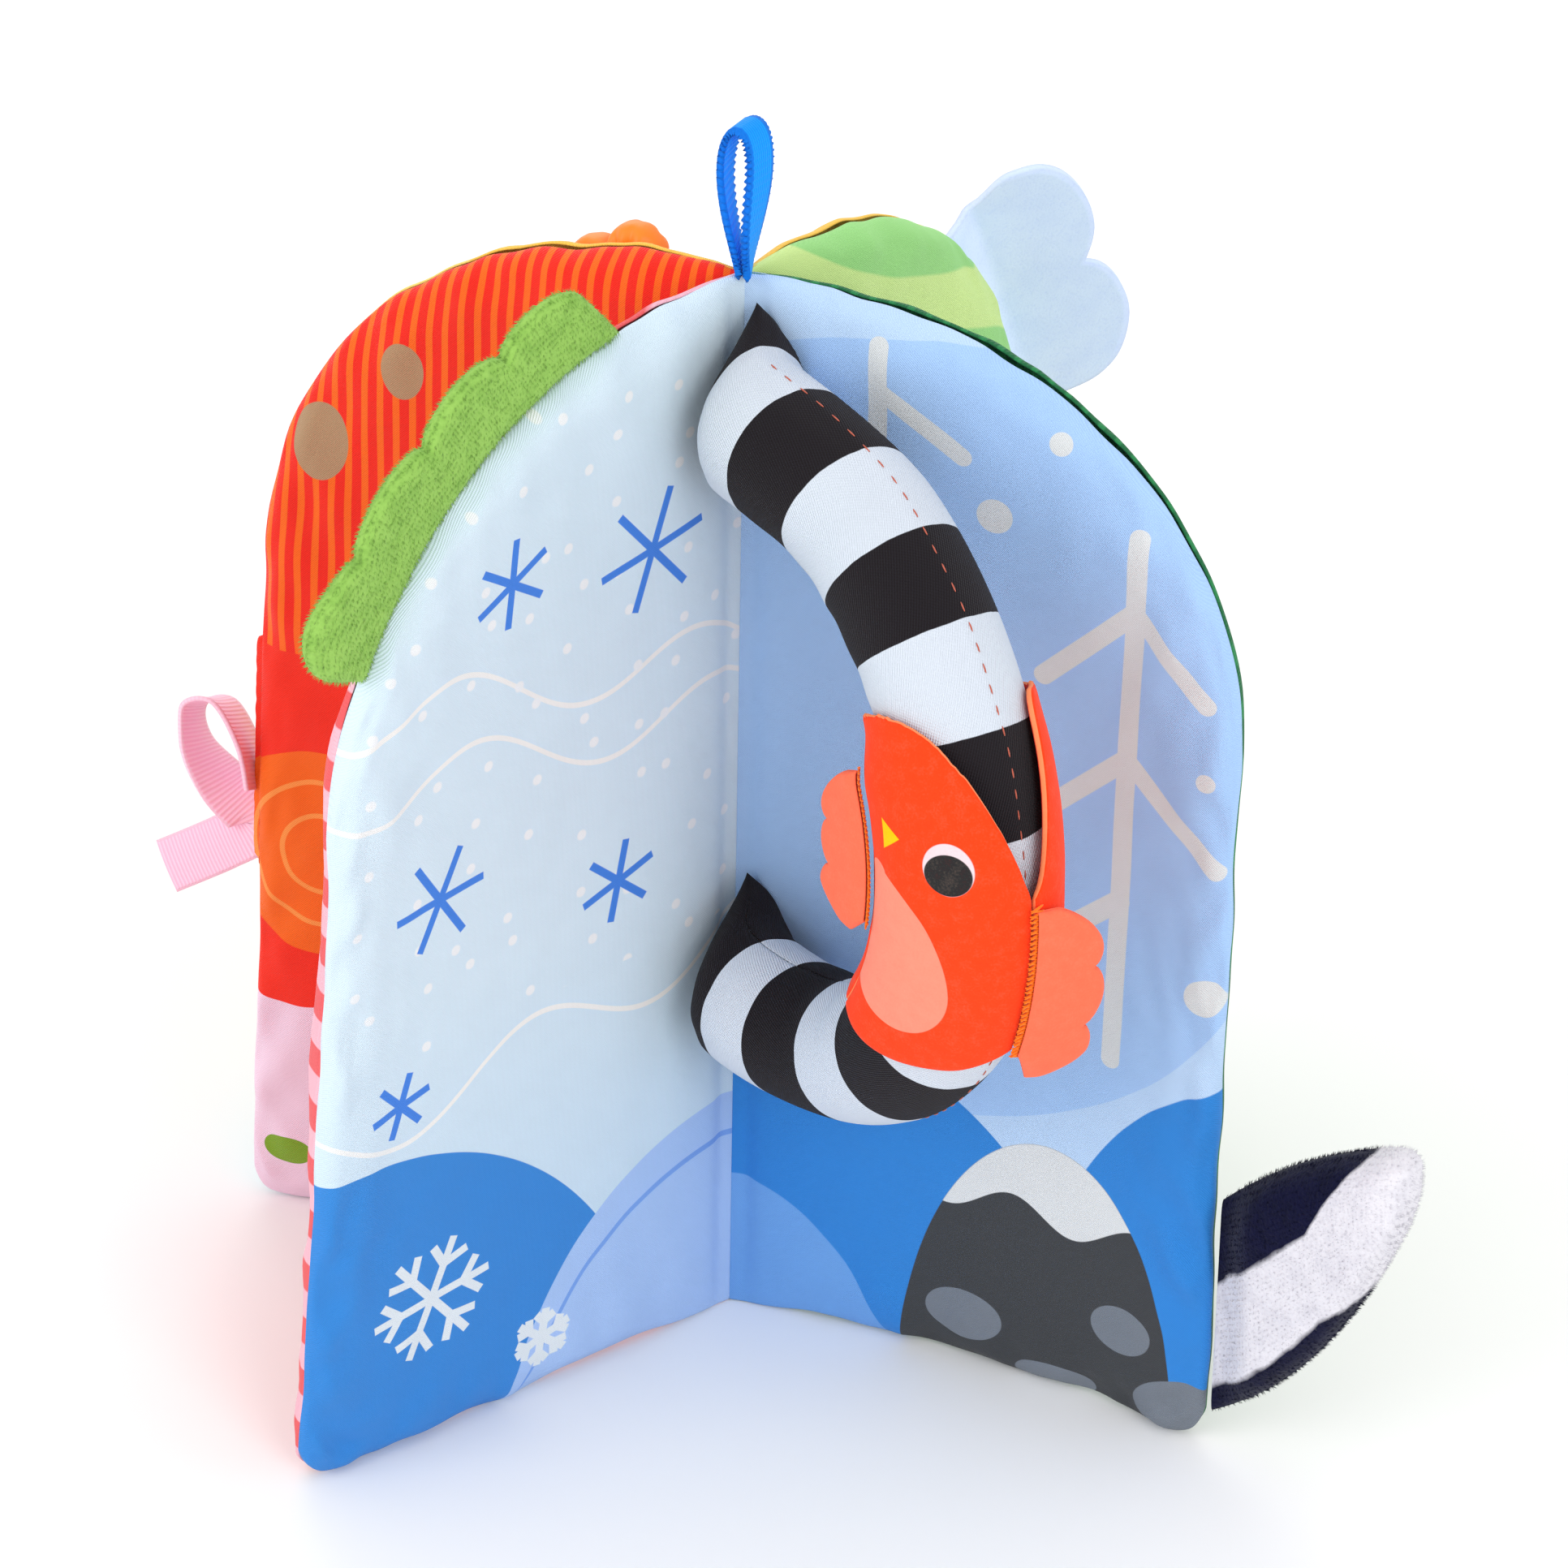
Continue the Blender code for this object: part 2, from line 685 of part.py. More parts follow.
def two_lobed_tab(leaf):
    """A flat tab of two round lobes, its root along the crown, creased towards the spring page."""
    root_start = Vector(crown(TAB_START_SHARE))
    along = (Vector(crown(TAB_END_SHARE)) - root_start).normalized()
    beyond = Vector((-along.y, along.x))
    outline = []
    for index in range(TAB_ROOT_SIDES + 1):
        share = mix(TAB_END_SHARE, TAB_START_SHARE, index / TAB_ROOT_SIDES)
        seam = Vector(crown(share)) - root_start
        outline.append(Vector((seam.dot(along), seam.dot(beyond) + GAP)))
    outline += arc_points(Vector(TAB_UPPER_LOBE), TAB_UPPER_RADIUS, *TAB_UPPER_ARC)
    outline.append(Vector(TAB_NOTCH))
    outline += arc_points(Vector(TAB_LOWER_LOBE), TAB_LOWER_RADIUS, *TAB_LOWER_ARC)
    data = bmesh.new()
    data.faces.new([data.verts.new((point.x, point.y, 0)) for point in outline])
    bmesh.ops.bisect_plane(
        data,
        geom=data.verts[:] + data.edges[:] + data.faces[:],
        plane_co=(0, TAB_CREASE, 0),
        plane_no=(0, 1, 0),
    )
    bmesh.ops.triangulate(data, faces=data.faces[:])
    straight = leaf.out * beyond.x + UP * beyond.y
    bend = math.radians(TAB_BEND)

    def place(lift):
        def point(run, rise):
            seam = root_start + along * run + beyond * min(rise, TAB_CREASE)
            turn = bend if rise > TAB_CREASE + MERGE else 0
            away = straight * math.cos(turn) - leaf.face * math.sin(turn)
            normal = leaf.face * math.cos(turn) + straight * math.sin(turn)
            return leaf.at(*seam) + away * max(rise - TAB_CREASE, 0) + normal * lift

        return point

    place_faces(data, place(TAB_HALF), place(-TAB_HALF), lambda point: (point.x, point.y))
    finish("blue_two_lobed_tab", data, (0.6, 0.72, 0.95), 0.9, flat=True)


def smooth_route(points, share):
    """A point on the smooth curve through the points, by equal shares of their count."""
    last = len(points) - 1
    index = min(int(share * last), last - 1)
    local = share * last - index
    before = points[max(index - 1, 0)]
    start, end = points[index], points[index + 1]
    after = points[min(index + 2, last)]
    leave = (end - before) / 2
    arrive = (after - start) / 2
    cubic = 2 * start - 2 * end + leave + arrive
    square = 3 * end - 3 * start - 2 * leave - arrive
    return start + (leave + (square + cubic * local) * local) * local


def ribbon(leaf):
    """A ribbon that loops up beyond the leaf's side, turns back and ends in a cut tail."""
    seat = leaf.at(side(RIBBON_HEIGHT), RIBBON_HEIGHT)
    away = leaf.tangent(side(RIBBON_HEIGHT), RIBBON_HEIGHT)
    facing = UP.cross(away)
    points = [Vector(shares) * RIBBON_SPAN for shares in RIBBON_ROUTE_SHARES]

    def route(share):
        out, up = smooth_route(points, share)
        return seat + away * (SEWN_GAP + out) + UP * up

    def place(lift):
        def point(along, across):
            before, after = max(along - SHARE_STEP, 0), min(along + SHARE_STEP, 1)
            ahead = (route(after) - route(before)).normalized()
            flat = ahead.cross(facing).normalized()
            twisted = smooth((along - RIBBON_TWIST_START_SHARE) / RIBBON_TWIST_RUN_SHARE)
            turn = math.radians(RIBBON_TWIST) * twisted
            width = facing * math.cos(turn) + flat * math.sin(turn)
            normal = ahead.cross(width).normalized()
            return route(along) + width * RIBBON_WIDTH * (across - 0.5) + normal * lift

        return point

    data = sheet(RIBBON_CELLS, 2, place(RIBBON_HALF), place(-RIBBON_HALF))
    finish("pink_ribbon", data, (0.9, 0.45, 0.6), 0.6, origin=seat)


# Hanging loop


def hanging_loop():
    """A tape whose two ends meet at the spine's top and whose middle stands as a loop."""
    across = direction(LOOP_TURN)
    width = UP.cross(across)
    foot = UP * (SPINE_HEIGHT - SPINE_TOP_DROP + LOOP_FOOT_LIFT)

    def route(share):
        turn = 2 * math.pi * share
        open_share = math.sin(turn / 2) ** LOOP_STEM_POWER
        aside = math.sin(turn) * LOOP_HALF_WIDTH * open_share
        stem = math.copysign((LOOP_TAPE + GAP) / 2, share - 0.5) * (1 - open_share)
        return foot + across * (stem - aside) + UP * LOOP_RISE * (1 - math.cos(turn)) / 2

    def place(lift):
        def point(along, sideways):
            before, after = max(along - SHARE_STEP, 0), min(along + SHARE_STEP, 1)
            normal = width.cross(route(after) - route(before)).normalized()
            return route(along) + width * LOOP_TAPE_WIDTH * (sideways - 0.5) + normal * lift

        return point

    data = sheet(LOOP_CELLS, 2, place(LOOP_TAPE / 2), place(-LOOP_TAPE / 2))
    finish("hang_loop", data, (0, 0.2, 0.75), 0.8, origin=foot)


# Rubber flower


def flower(leaf):
    """A moulded flower of grooved petals, tied through its hole to the summer page."""
    middle_up = SPINE_HEIGHT - FLOWER_DROP - FLOWER_RADIUS
    seat = leaf.at(FLOWER_OUT, middle_up)
    away = leaf.tangent(FLOWER_OUT, middle_up)
    facing = away.cross(UP)
    centre = seat + facing * (PUFF_HALF + GAP + FLOWER_HALF)

    def petal_radius(turn):
        lobe = abs(math.cos(FLOWER_PETALS * turn / 2))
        return mix(FLOWER_VALLEY, FLOWER_RADIUS, lobe**FLOWER_LOBE_POWER)

    def place(side_of):
        def point(share, turn):
            radius = mix(FLOWER_HOLE, petal_radius(turn - math.pi / 2), share)
            ridge = math.cos(FLOWER_PETALS * turn * 2) ** 2 * smooth(share * 2)
            rim = mix(FLOWER_EDGE_SHARE, 1, ramp((1 - share) / FLOWER_RIM_SHARE))
            half = FLOWER_HALF * rim * (1 - FLOWER_GROOVE_SHARE * ridge)
            around = away * math.cos(turn) + UP * math.sin(turn)
            return centre + around * radius + facing * side_of * half

        return point

    sides = FLOWER_PETALS * FLOWER_PETAL_SIDES
    data = sleeve(sides, FLOWER_RINGS, place(1), place(-1))
    finish("flower_teether", data, (0.95, 0.3, 0.02), 0.5, origin=centre)

    length = FLOWER_HALF * 2 + GAP
    top = length + KNOT_HEAD_THICK
    profile = ((0, 0), (KNOT_SHANK, 0), (KNOT_SHANK, length), (KNOT_HEAD, length))
    profile += ((KNOT_HEAD, mix(length, top, 0.5)), (KNOT_HEAD * KNOT_TOP_SHARE, top), (0, top))
    data = turned_solid(profile, KNOT_SIDES)
    turned = facing.to_track_quat("Z", "Y").to_matrix()
    bmesh.ops.rotate(data, verts=data.verts[:], matrix=turned)
    foot = seat + facing * (PUFF_HALF + GAP)
    bmesh.ops.translate(data, verts=data.verts[:], vec=foot)
    finish("teether_knot", data, (0.95, 0.5, 0.05), 0.8, origin=foot)


def main():
    for old in list(bpy.data.objects):
        bpy.data.objects.remove(old, do_unlink=True)

    front_left = Leaf(FRONT_LEFT_TURN, FRONT_LEFT_BOW, FRONT_LEFT_LEAN)
    front_right = Leaf(FRONT_RIGHT_TURN, FRONT_RIGHT_BOW, FRONT_RIGHT_LEAN)
    back_right = Leaf(BACK_RIGHT_TURN, BACK_RIGHT_BOW, BACK_RIGHT_LEAN)
    back_left = Leaf(BACK_LEFT_TURN, BACK_LEFT_BOW, BACK_LEFT_LEAN)

    leaves = (front_left, front_right, back_right, back_left)
    spine_seam([leaf.out for leaf in leaves] + [Tube.out])
    page(front_left, "winter_left_page", 1, (0.5, 0.65, 0.9))
    page(front_left, "autumn_right_page", -1, (0.9, 0.25, 0.25))
    padding(front_left, "front_left", film_facing=1)
    page(front_right, "winter_right_page", -1, (0.35, 0.55, 0.85))
    page(front_right, "spring_left_page", 1, (0.02, 0.25, 0.08))
    padding(front_right, "front_right")
    page(back_right, "spring_right_page", -1, (0.4, 0.7, 0.3))
    page(back_right, "summer_left_page", 1, (0.95, 0.75, 0.35))
    padding(back_right, "back_right", film_facing=-1)
    page(back_left, "autumn_left_page", 1, (0.95, 0.1, 0.02))
    page(back_left, "summer_right_page", -1, (0.95, 0.6, 0.15))
    padding(back_left, "back_left")

    striped_tube()
    bird_body()
    left_wing = (BIRD_LEFT_SEAM, LEFT_WING_TOP, LEFT_WING_FOOT, LEFT_WING_FOLD)
    right_wing = (BIRD_RIGHT_SEAM, RIGHT_WING_TOP, RIGHT_WING_FOOT, RIGHT_WING_FOLD)
    bird_wing("bird_left_wing", *left_wing, (0.9, 0.15, 0.12))
    bird_wing("bird_right_wing", *right_wing, (0.9, 0.2, 0.08))

    tail(front_right)
    hedge(front_left)
    two_lobed_tab(back_right)
    ribbon(back_left)
    hanging_loop()
    flower(back_left)


main()
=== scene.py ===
import math
import random

import bmesh
import bpy
from mathutils import Matrix, Vector, noise


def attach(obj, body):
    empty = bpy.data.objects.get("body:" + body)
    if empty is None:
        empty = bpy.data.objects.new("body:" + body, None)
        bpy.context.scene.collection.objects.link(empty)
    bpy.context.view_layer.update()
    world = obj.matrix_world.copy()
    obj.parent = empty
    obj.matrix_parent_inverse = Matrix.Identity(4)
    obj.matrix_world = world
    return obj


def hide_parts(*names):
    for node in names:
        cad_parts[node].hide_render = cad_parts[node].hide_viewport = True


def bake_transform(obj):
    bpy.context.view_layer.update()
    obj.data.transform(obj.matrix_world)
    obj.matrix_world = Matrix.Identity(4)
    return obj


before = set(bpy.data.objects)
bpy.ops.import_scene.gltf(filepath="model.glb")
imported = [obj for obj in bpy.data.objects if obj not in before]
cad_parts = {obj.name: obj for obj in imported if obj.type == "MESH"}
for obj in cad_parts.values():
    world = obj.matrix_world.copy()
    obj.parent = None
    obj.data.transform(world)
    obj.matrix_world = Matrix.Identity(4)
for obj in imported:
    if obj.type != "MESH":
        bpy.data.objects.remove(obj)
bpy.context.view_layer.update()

# Photo studio: a long lens looks a little down on the book, which stands on a white
# floor under a soft lamp from the upper front right, a weaker one from the left, one from behind
# and a pale room.
LENS = 166.45
LENS_SHIFT = (0.0306, 0.0147)
LENS_HEIGHT = 31.92
LENS_ROLL = 0.87
LENS_DISTANCE = 1.260
AIM = Vector((0, 0, 0.105))
LENS_FILM = 36
ROOM_LIGHT = 0.92
FLOOR_SIZE = 3.0


def show(name, data):
    """Puts a mesh, a lamp or a lens into the scene."""
    thing = bpy.data.objects.new(name, data)
    bpy.context.scene.collection.objects.link(thing)
    return thing


def mesh_of(name, form):
    """The mesh of a form that is done."""
    mesh = bpy.data.meshes.new(name)
    form.to_mesh(mesh)
    form.free()
    return mesh


def paint(red, green, blue):
    """A colour as written on a paint card, 0 to 255, in Blender's linear numbers."""
    shares = []
    for value in (red, green, blue):
        share = value / 255
        shares.append(share / 12.92 if share <= 0.04045 else ((share + 0.055) / 1.055) ** 2.4)
    return (*shares, 1)


class Wire:
    """A number that varies over a surface. A sum written on it adds its Math node."""

    def __init__(self, finish, socket):
        self.finish = finish
        self.socket = socket

    def pick(self, output):
        """Another output of the same node."""
        return Wire(self.finish, self.socket.node.outputs[output])

    def to(self, operation, *others, clamped=False):
        return self.finish.math(operation, self, *others, clamped=clamped)

    def __add__(self, other):
        return self.to("ADD", other)

    __radd__ = __add__

    def __sub__(self, other):
        return self.to("SUBTRACT", other)

    def __rsub__(self, other):
        return self.finish.math("SUBTRACT", other, self)

    def __mul__(self, other):
        return self.to("MULTIPLY", other)

    __rmul__ = __mul__

    def __truediv__(self, other):
        return self.to("DIVIDE", other)

    def __abs__(self):
        return self.to("ABSOLUTE")

    def __or__(self, other):
        return self.to("MAXIMUM", other)

    def __and__(self, other):
        return self.to("MINIMUM", other)

    def below(self, edge, soft=0.015):
        """1 where the number is under the edge, 0 over it, with a soft step between them."""
        return ((edge - self) / soft + 0.5).to("ADD", 0, clamped=True)


class Finish:
    """A material on its way: the nodes added so far, and the shader that they feed."""

    def __init__(self, name, roughness, sheen=0.0, shine=0.2):
        self.material = bpy.data.materials.new(name)
        self.material.use_nodes = True
        self.tree = self.material.node_tree
        self.shader = self.tree.nodes["Principled BSDF"]
        self.shader.inputs["Roughness"].default_value = roughness
        self.shader.inputs["Sheen Weight"].default_value = sheen
        self.shader.inputs["Specular IOR Level"].default_value = shine

    def add(self, kind, settings=None, sockets=None, output=0):
        """Adds one node of a kind, with its settings, then its sockets' values or links."""
        node = self.tree.nodes.new("ShaderNode" + kind)
        for label, value in (settings or {}).items():
            setattr(node, label, value)
        for label, value in (sockets or {}).items():
            if isinstance(value, Wire):
                self.tree.links.new(value.socket, node.inputs[label])
            else:
                node.inputs[label].default_value = value
        return Wire(self, node.outputs[output])

    def math(self, operation, *values, clamped=False):
        settings = {"operation": operation, "use_clamp": clamped}
        return self.add("Math", settings, dict(enumerate(values)))

    def over(self, mask, top, under):
        """The top colour where the mask is 1, on the colour under it."""
        settings = {"data_type": "RGBA"}
        return self.add("Mix", settings, {0: mask, 6: under, 7: top}, output=2)

    def marks(self):
        """A point's mark on the print, then how far it lies across and up, in centimetres."""
        mark = self.add("UVMap", {"uv_map": "print"})
        across = self.add("SeparateXYZ", None, {0: mark})
        return mark, across, across.pick(1)

    def cloud(self, scale, detail=2.0, mark=None):
        """Noise with so many cells to a metre of the object, or to a centimetre of a print."""
        mark = mark or self.add("TexCoord", output=3)
        return self.add("TexNoise", None, {"Vector": mark, "Scale": scale, "Detail": detail})

    def feed(self, label, value):
        self.tree.links.new(value.socket, self.shader.inputs[label])
        return self.material

    def dye(self, mask, top, under):
        self.feed("Base Color", self.over(mask, top, under))

    def emboss(self, height, depth):
        """Raises the surface by a height from 0 to 1 of that depth in metres."""
        sockets = {"Distance": depth, "Height": height}
        return self.feed("Normal", self.add("Bump", None, sockets))


for old in [item for item in bpy.data.objects if item.type in ("CAMERA", "LIGHT")]:
    bpy.data.objects.remove(old, do_unlink=True)

rise = math.radians(LENS_HEIGHT)
back = Vector((0, -math.cos(rise), math.sin(rise)))
level = Vector((1, 0, 0))
upright = back.cross(level)
roll = math.radians(LENS_ROLL)
turned_level = level * math.cos(roll) + upright * math.sin(roll)
turned_upright = upright * math.cos(roll) - level * math.sin(roll)
lens = bpy.data.cameras.new("lens")
lens.sensor_width = LENS_FILM
lens.lens = LENS
lens.shift_x, lens.shift_y = LENS_SHIFT
camera = show("camera", lens)
axes = Matrix((turned_level, turned_upright, back)).transposed()
camera.matrix_world = Matrix.Translation(AIM + back * LENS_DISTANCE) @ axes.to_4x4()
bpy.context.scene.camera = camera
bpy.context.scene.view_settings.view_transform = "Standard"

for label, place, width, power in (
    ("key_lamp", (0.9, -1.9, 1.3), 1.1, 15.0),
    ("fill_lamp", (-1.7, -1.0, 1.0), 1.4, 11.0),
    ("back_lamp", (-0.2, 1.8, 1.2), 1.6, 10.0),
):
    lamp = bpy.data.lights.new(label, "AREA")
    lamp.shape = "DISK"
    lamp.size = width
    lamp.energy = power
    aim = (AIM - Vector(place)).to_track_quat("-Z", "Y").to_matrix().to_4x4()
    show(label, lamp).matrix_world = Matrix.Translation(place) @ aim

room = bpy.data.worlds.new("pale_room")
room.use_nodes = True
bpy.context.scene.world = room
nodes, links = room.node_tree.nodes, room.node_tree.links
sky = nodes["Background"]
rays = nodes.new("ShaderNodeLightPath").outputs
seen = rays["Is Camera Ray"]
for ray in ("Is Glossy Ray", "Is Transmission Ray"):
    either = nodes.new("ShaderNodeMath")
    either.operation = "MAXIMUM"
    links.new(seen, either.inputs[0])
    links.new(rays[ray], either.inputs[1])
    seen = either.outputs[0]
strength = nodes.new("ShaderNodeMapRange")
strength.inputs["To Min"].default_value = ROOM_LIGHT
strength.inputs["To Max"].default_value = 1
links.new(seen, strength.inputs["Value"])
links.new(strength.outputs[0], sky.inputs["Strength"])
sky.inputs["Color"].default_value = (1, 1, 1, 1)

plain = bmesh.new()
bmesh.ops.create_circle(plain, cap_ends=True, segments=96, radius=FLOOR_SIZE)
floor = show("floor", mesh_of("floor", plain))
paper = Finish("white_paper", 0.9, shine=0.0)
paper.shader.inputs["Base Color"].default_value = paint(250, 250, 250)
floor.data.materials.append(paper.material)

# Leaves: each is two printed polyester satin cloths, sewn face to face along their outline and
# turned right side out over batting, so they swell from the seam and pucker beside it.
SPINE_HEIGHT = 0.210
LEAF_START = 0.0036
LEAF_WIDTH = 0.092
FOOT_WIDTH = 0.094
SHOULDER = 0.134
CORNER = 0.008
CROWN_POWER = 2.13
CLOTH = 0.0005
SEAM_GAP = 0.0003
SEAM_HALF = 0.0008
PUFF_HALF = 0.0034
PUFF_RISE = 0.012
SPINE_RISE = 0.014
LEAN_PIVOT = 0.4
SURFACE_STEP = 0.0006
PAGE_START = 0.0002
PAGE_COLUMNS = 44
PAGE_ROWS = 64
RIM_CELLS = 3
RIM_HALF = -0.0004
SEAM_ROLL = 0.0013
SEAM_ROLL_RUN = 0.0022
SIDE_ROLL_SHARE = -0.5
FOOT_WAVE = 0.0016
SIDE_WAVE = 0.0008
EDGE_RUN = 0.006
PUCKER = 0.0026
CREASE = 0.0028
CROWN_WAVE = 0.0013
PUCKER_RUN = 0.009
LEAVES = {
    "front_left": (-139.3, -0.0019, 0.0164),
    "front_right": (-23.7, 0.0047, 0.0065),
    "back_right": (58.4, -0.0016, 0.0028),
    "back_left": (156.8, -0.0040, -0.0106),
}
ROLLED_TOWARDS = {"front_left": -1, "front_right": 1, "back_right": 1, "back_left": -1}


def mix(first, second, share):
    return first * (1 - share) + second * share


def ramp(share):
    """A quarter-round rise from 0 to 1, as a stuffed edge has."""
    inside = min(max(share, 0), 1)
    return math.sqrt(1 - (1 - inside) ** 2)


def smooth(share):
    inside = min(max(share, 0), 1)
    return inside * inside * (3 - 2 * inside)


def direction(degrees):
    turn = math.radians(degrees)
    return Vector((math.cos(turn), math.sin(turn), 0))


def leftward(out):
    """The level direction a quarter turn to the left of another."""
    return Vector((-out.y, out.x, 0))


def crown(share, start=LEAF_START):
    """A point on the arched top, as (out, up), from the spine's top to the shoulder."""
    turn = share * math.pi / 2
    out = mix(start, LEAF_WIDTH, math.sin(turn) ** (2 / CROWN_POWER))
    return out, mix(SHOULDER, SPINE_HEIGHT, max(math.cos(turn), 0) ** (2 / CROWN_POWER))


def crown_outward(share):
    before = Vector(crown(max(share - 0.005, 0)))
    after = Vector(crown(min(share + 0.005, 1)))
    along = (after - before).normalized()
    return Vector((-along.y, along.x))


def side(height):
    return LEAF_WIDTH + (FOOT_WIDTH - LEAF_WIDTH) * max(0, 1 - height / SHOULDER)


def foot_line(out):
    """The height of a leaf's lower edge, with its round corner."""
    over = max(0, out - (LEAF_WIDTH - CORNER))
    return CORNER - math.sqrt(max(CORNER**2 - over**2, 0))


def outline_grid(column, row):
    """(out, up) in columns that follow the arched top and the round bottom corner."""
    out, top = crown(column, PAGE_START)
    up = mix(foot_line(out), top, (1 - math.cos(math.pi * row)) / 2)
    widened = (side(up) - PAGE_START) / (LEAF_WIDTH - PAGE_START)
    return PAGE_START + (out - PAGE_START) * widened, up


def crown_inset(out, up):
    """How far a point lies inside the arched top and the free side."""
    above = max(0, up - SHOULDER)
    run = max(0, out - LEAF_START)
    shares = run / (side(up) - LEAF_START), above / (SPINE_HEIGHT - SHOULDER)
    share = sum(value**CROWN_POWER for value in shares) ** (1 / CROWN_POWER)
    return (1 - share) * math.hypot(run, above) / share if share > 0 else PUFF_RISE


def puff(out, up):
    """How far the padding lifts the cloth over the seam's own height."""
    rises = ramp(crown_inset(out, up) / PUFF_RISE) * ramp(up / PUFF_RISE)
    return (PUFF_HALF - SEAM_HALF) * rises * ramp((out - LEAF_START) / SPINE_RISE)


class Leaf:
    """The middle surface between a leaf's two cloths, which bows and leans a little."""

    def __init__(self, turn, bow, lean):
        self.out = direction(turn)
        self.face = leftward(self.out)
        self.bow = bow
        self.lean = lean

    def at(self, out, up, off=0):
        share = min(out / LEAF_WIDTH, 1)
        bowed = self.bow * 4 * share * (1 - share)
        leant = self.lean * share**2 * (up / SPINE_HEIGHT - LEAN_PIVOT)
        return self.out * out + Vector((0, 0, up)) + self.face * (off + bowed + leant)

    def away(self, out, up):
        """The direction in which the surface runs out from the spine at a point."""
        return (self.at(out + SURFACE_STEP, up) - self.at(out - SURFACE_STEP, up)).normalized()


def spread_cloth(columns, rows, place, merged=False, flipped=False):
    """A cloth of square cells. Place gives each point its seat and its mark on the print."""
    cloth = bmesh.new()
    bmesh.ops.create_grid(cloth, x_segments=columns, y_segments=rows, size=0.5)
    marks = cloth.loops.layers.uv.new("print")
    spots = {}
    for point in cloth.verts:
        seat, spot = place(point.co.x + 0.5, point.co.y + 0.5)
        point.co = seat
        spots[point.index] = spot
    for cell in cloth.faces:
        for corner in cell.loops:
            corner[marks].uv = spots[corner.vert.index]
    if merged:
        bmesh.ops.remove_doubles(cloth, verts=cloth.verts[:], dist=0.000002)
        bmesh.ops.recalc_face_normals(cloth, faces=cloth.faces[:])
    if flipped:
        bmesh.ops.reverse_faces(cloth, faces=cloth.faces[:])
    return cloth


def make_up(name, cloth, materials, body, nodes=(), thick=0, rounds=1, bends=None):
    """Makes the piece of its mesh, gives the cloth its thickness and puts it on its body.

    The materials are those of its outer face, its inner face and its cut edge. A piece given
    bends (the body of its root and the two points between which it bends) is left in place in
    the world and put on no body; that body and those points are not used.
    """
    mesh = mesh_of(name, cloth)
    mesh.shade_smooth()
    for material in materials:
        mesh.materials.append(material)
    piece = show(name, mesh)
    if thick:
        wall = piece.modifiers.new("cloth_thickness", "SOLIDIFY")
        wall.thickness = thick
        wall.offset = -1
        wall.material_offset = min(len(materials) - 1, 1)
        wall.material_offset_rim = len(materials) - 1
    if rounds:
        rounding = piece.modifiers.new("rounding", "SUBSURF")
        rounding.levels = rounding.render_levels = rounds
    if bends:
        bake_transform(piece)
    else:
        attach(piece, body)
    if nodes:
        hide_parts(*nodes)
    return piece


BAG_COLUMNS = 24
BAG_ROWS = 52
BAG_SCALE = 10
BAG_FRAMES = 20
BAG_CLOTH = {
    "quality": 6,
    "mass": 0.25,
    "tension_stiffness": 12,
    "compression_stiffness": 12,
    "shear_stiffness": 4,
    "bending_stiffness": 0.35,
    "use_pressure": True,
    "uniform_pressure_force": 4.0,
    "shrink_min": -0.045,
    "vertex_group_mass": "seam",
}
SWELL_MOST = 0.0012
SAG_MOST = -0.00010


def bag_point(across, upward):
    """(out, up) in even cells, for the sewn bag that is blown up."""
    out = mix(LEAF_START, LEAF_WIDTH, across)
    turn = math.asin(min(across ** (CROWN_POWER / 2), 1))
    top = mix(SHOULDER, SPINE_HEIGHT, max(math.cos(turn), 0) ** (2 / CROWN_POWER))
    return out, mix(foot_line(out), top, upward)


def swell(leaf):
    """Sews a leaf's two cloths, cut a little large, into a bag, and blows it up as cloth.

    It returns how far each point of the two cloths rises from the plain padded form.
    """
    bag = bmesh.new()
    tag = bag.verts.layers.int.new("cell")
    for facing in (1, -1):
        made = bmesh.ops.create_grid(bag, x_segments=BAG_COLUMNS, y_segments=BAG_ROWS, size=0.5)
        for point in made["verts"]:
            column = round((point.co.x + 0.5) * BAG_COLUMNS)
            row = round((point.co.y + 0.5) * BAG_ROWS)
            out, up = bag_point(column / BAG_COLUMNS, row / BAG_ROWS)
            inside = 0 < column < BAG_COLUMNS and 0 < row < BAG_ROWS
            point[tag] = facing * (column * (BAG_ROWS + 1) + row + 1) if inside else 0
            lift = puff(out, up) * facing if inside else 0
            point.co = leaf.at(out, up, lift) * BAG_SCALE
    bmesh.ops.remove_doubles(bag, verts=bag.verts[:], dist=0.0001)
    bmesh.ops.recalc_face_normals(bag, faces=bag.faces[:])
    tags = [point[tag] for point in bag.verts]
    piece = show("bag", mesh_of("bag", bag))
    seam = piece.vertex_groups.new(name="seam")
    seam.add([index for index, cell in enumerate(tags) if cell == 0], 1, "REPLACE")
    cloth = piece.modifiers.new("cloth", "CLOTH")
    for label, value in BAG_CLOTH.items():
        setattr(cloth.settings, label, value)
    cloth.settings.effector_weights.gravity = 0
    cloth.point_cache.frame_start = 1
    cloth.point_cache.frame_end = BAG_FRAMES
    start = [point.co.copy() for point in piece.data.vertices]
    for step in range(1, BAG_FRAMES + 1):
        bpy.context.scene.frame_set(step)
    blown = piece.evaluated_get(bpy.context.evaluated_depsgraph_get())
    risen = {}
    for cell, before, after in zip(tags, start, blown.data.vertices):
        if cell:
            facing = 1 if cell > 0 else -1
            rise = (after.co - before).dot(leaf.face) * facing / BAG_SCALE
            risen[cell] = min(max(rise, SAG_MOST), SWELL_MOST)
    bpy.data.objects.remove(piece, do_unlink=True)
    bpy.context.scene.frame_set(1)
    return risen


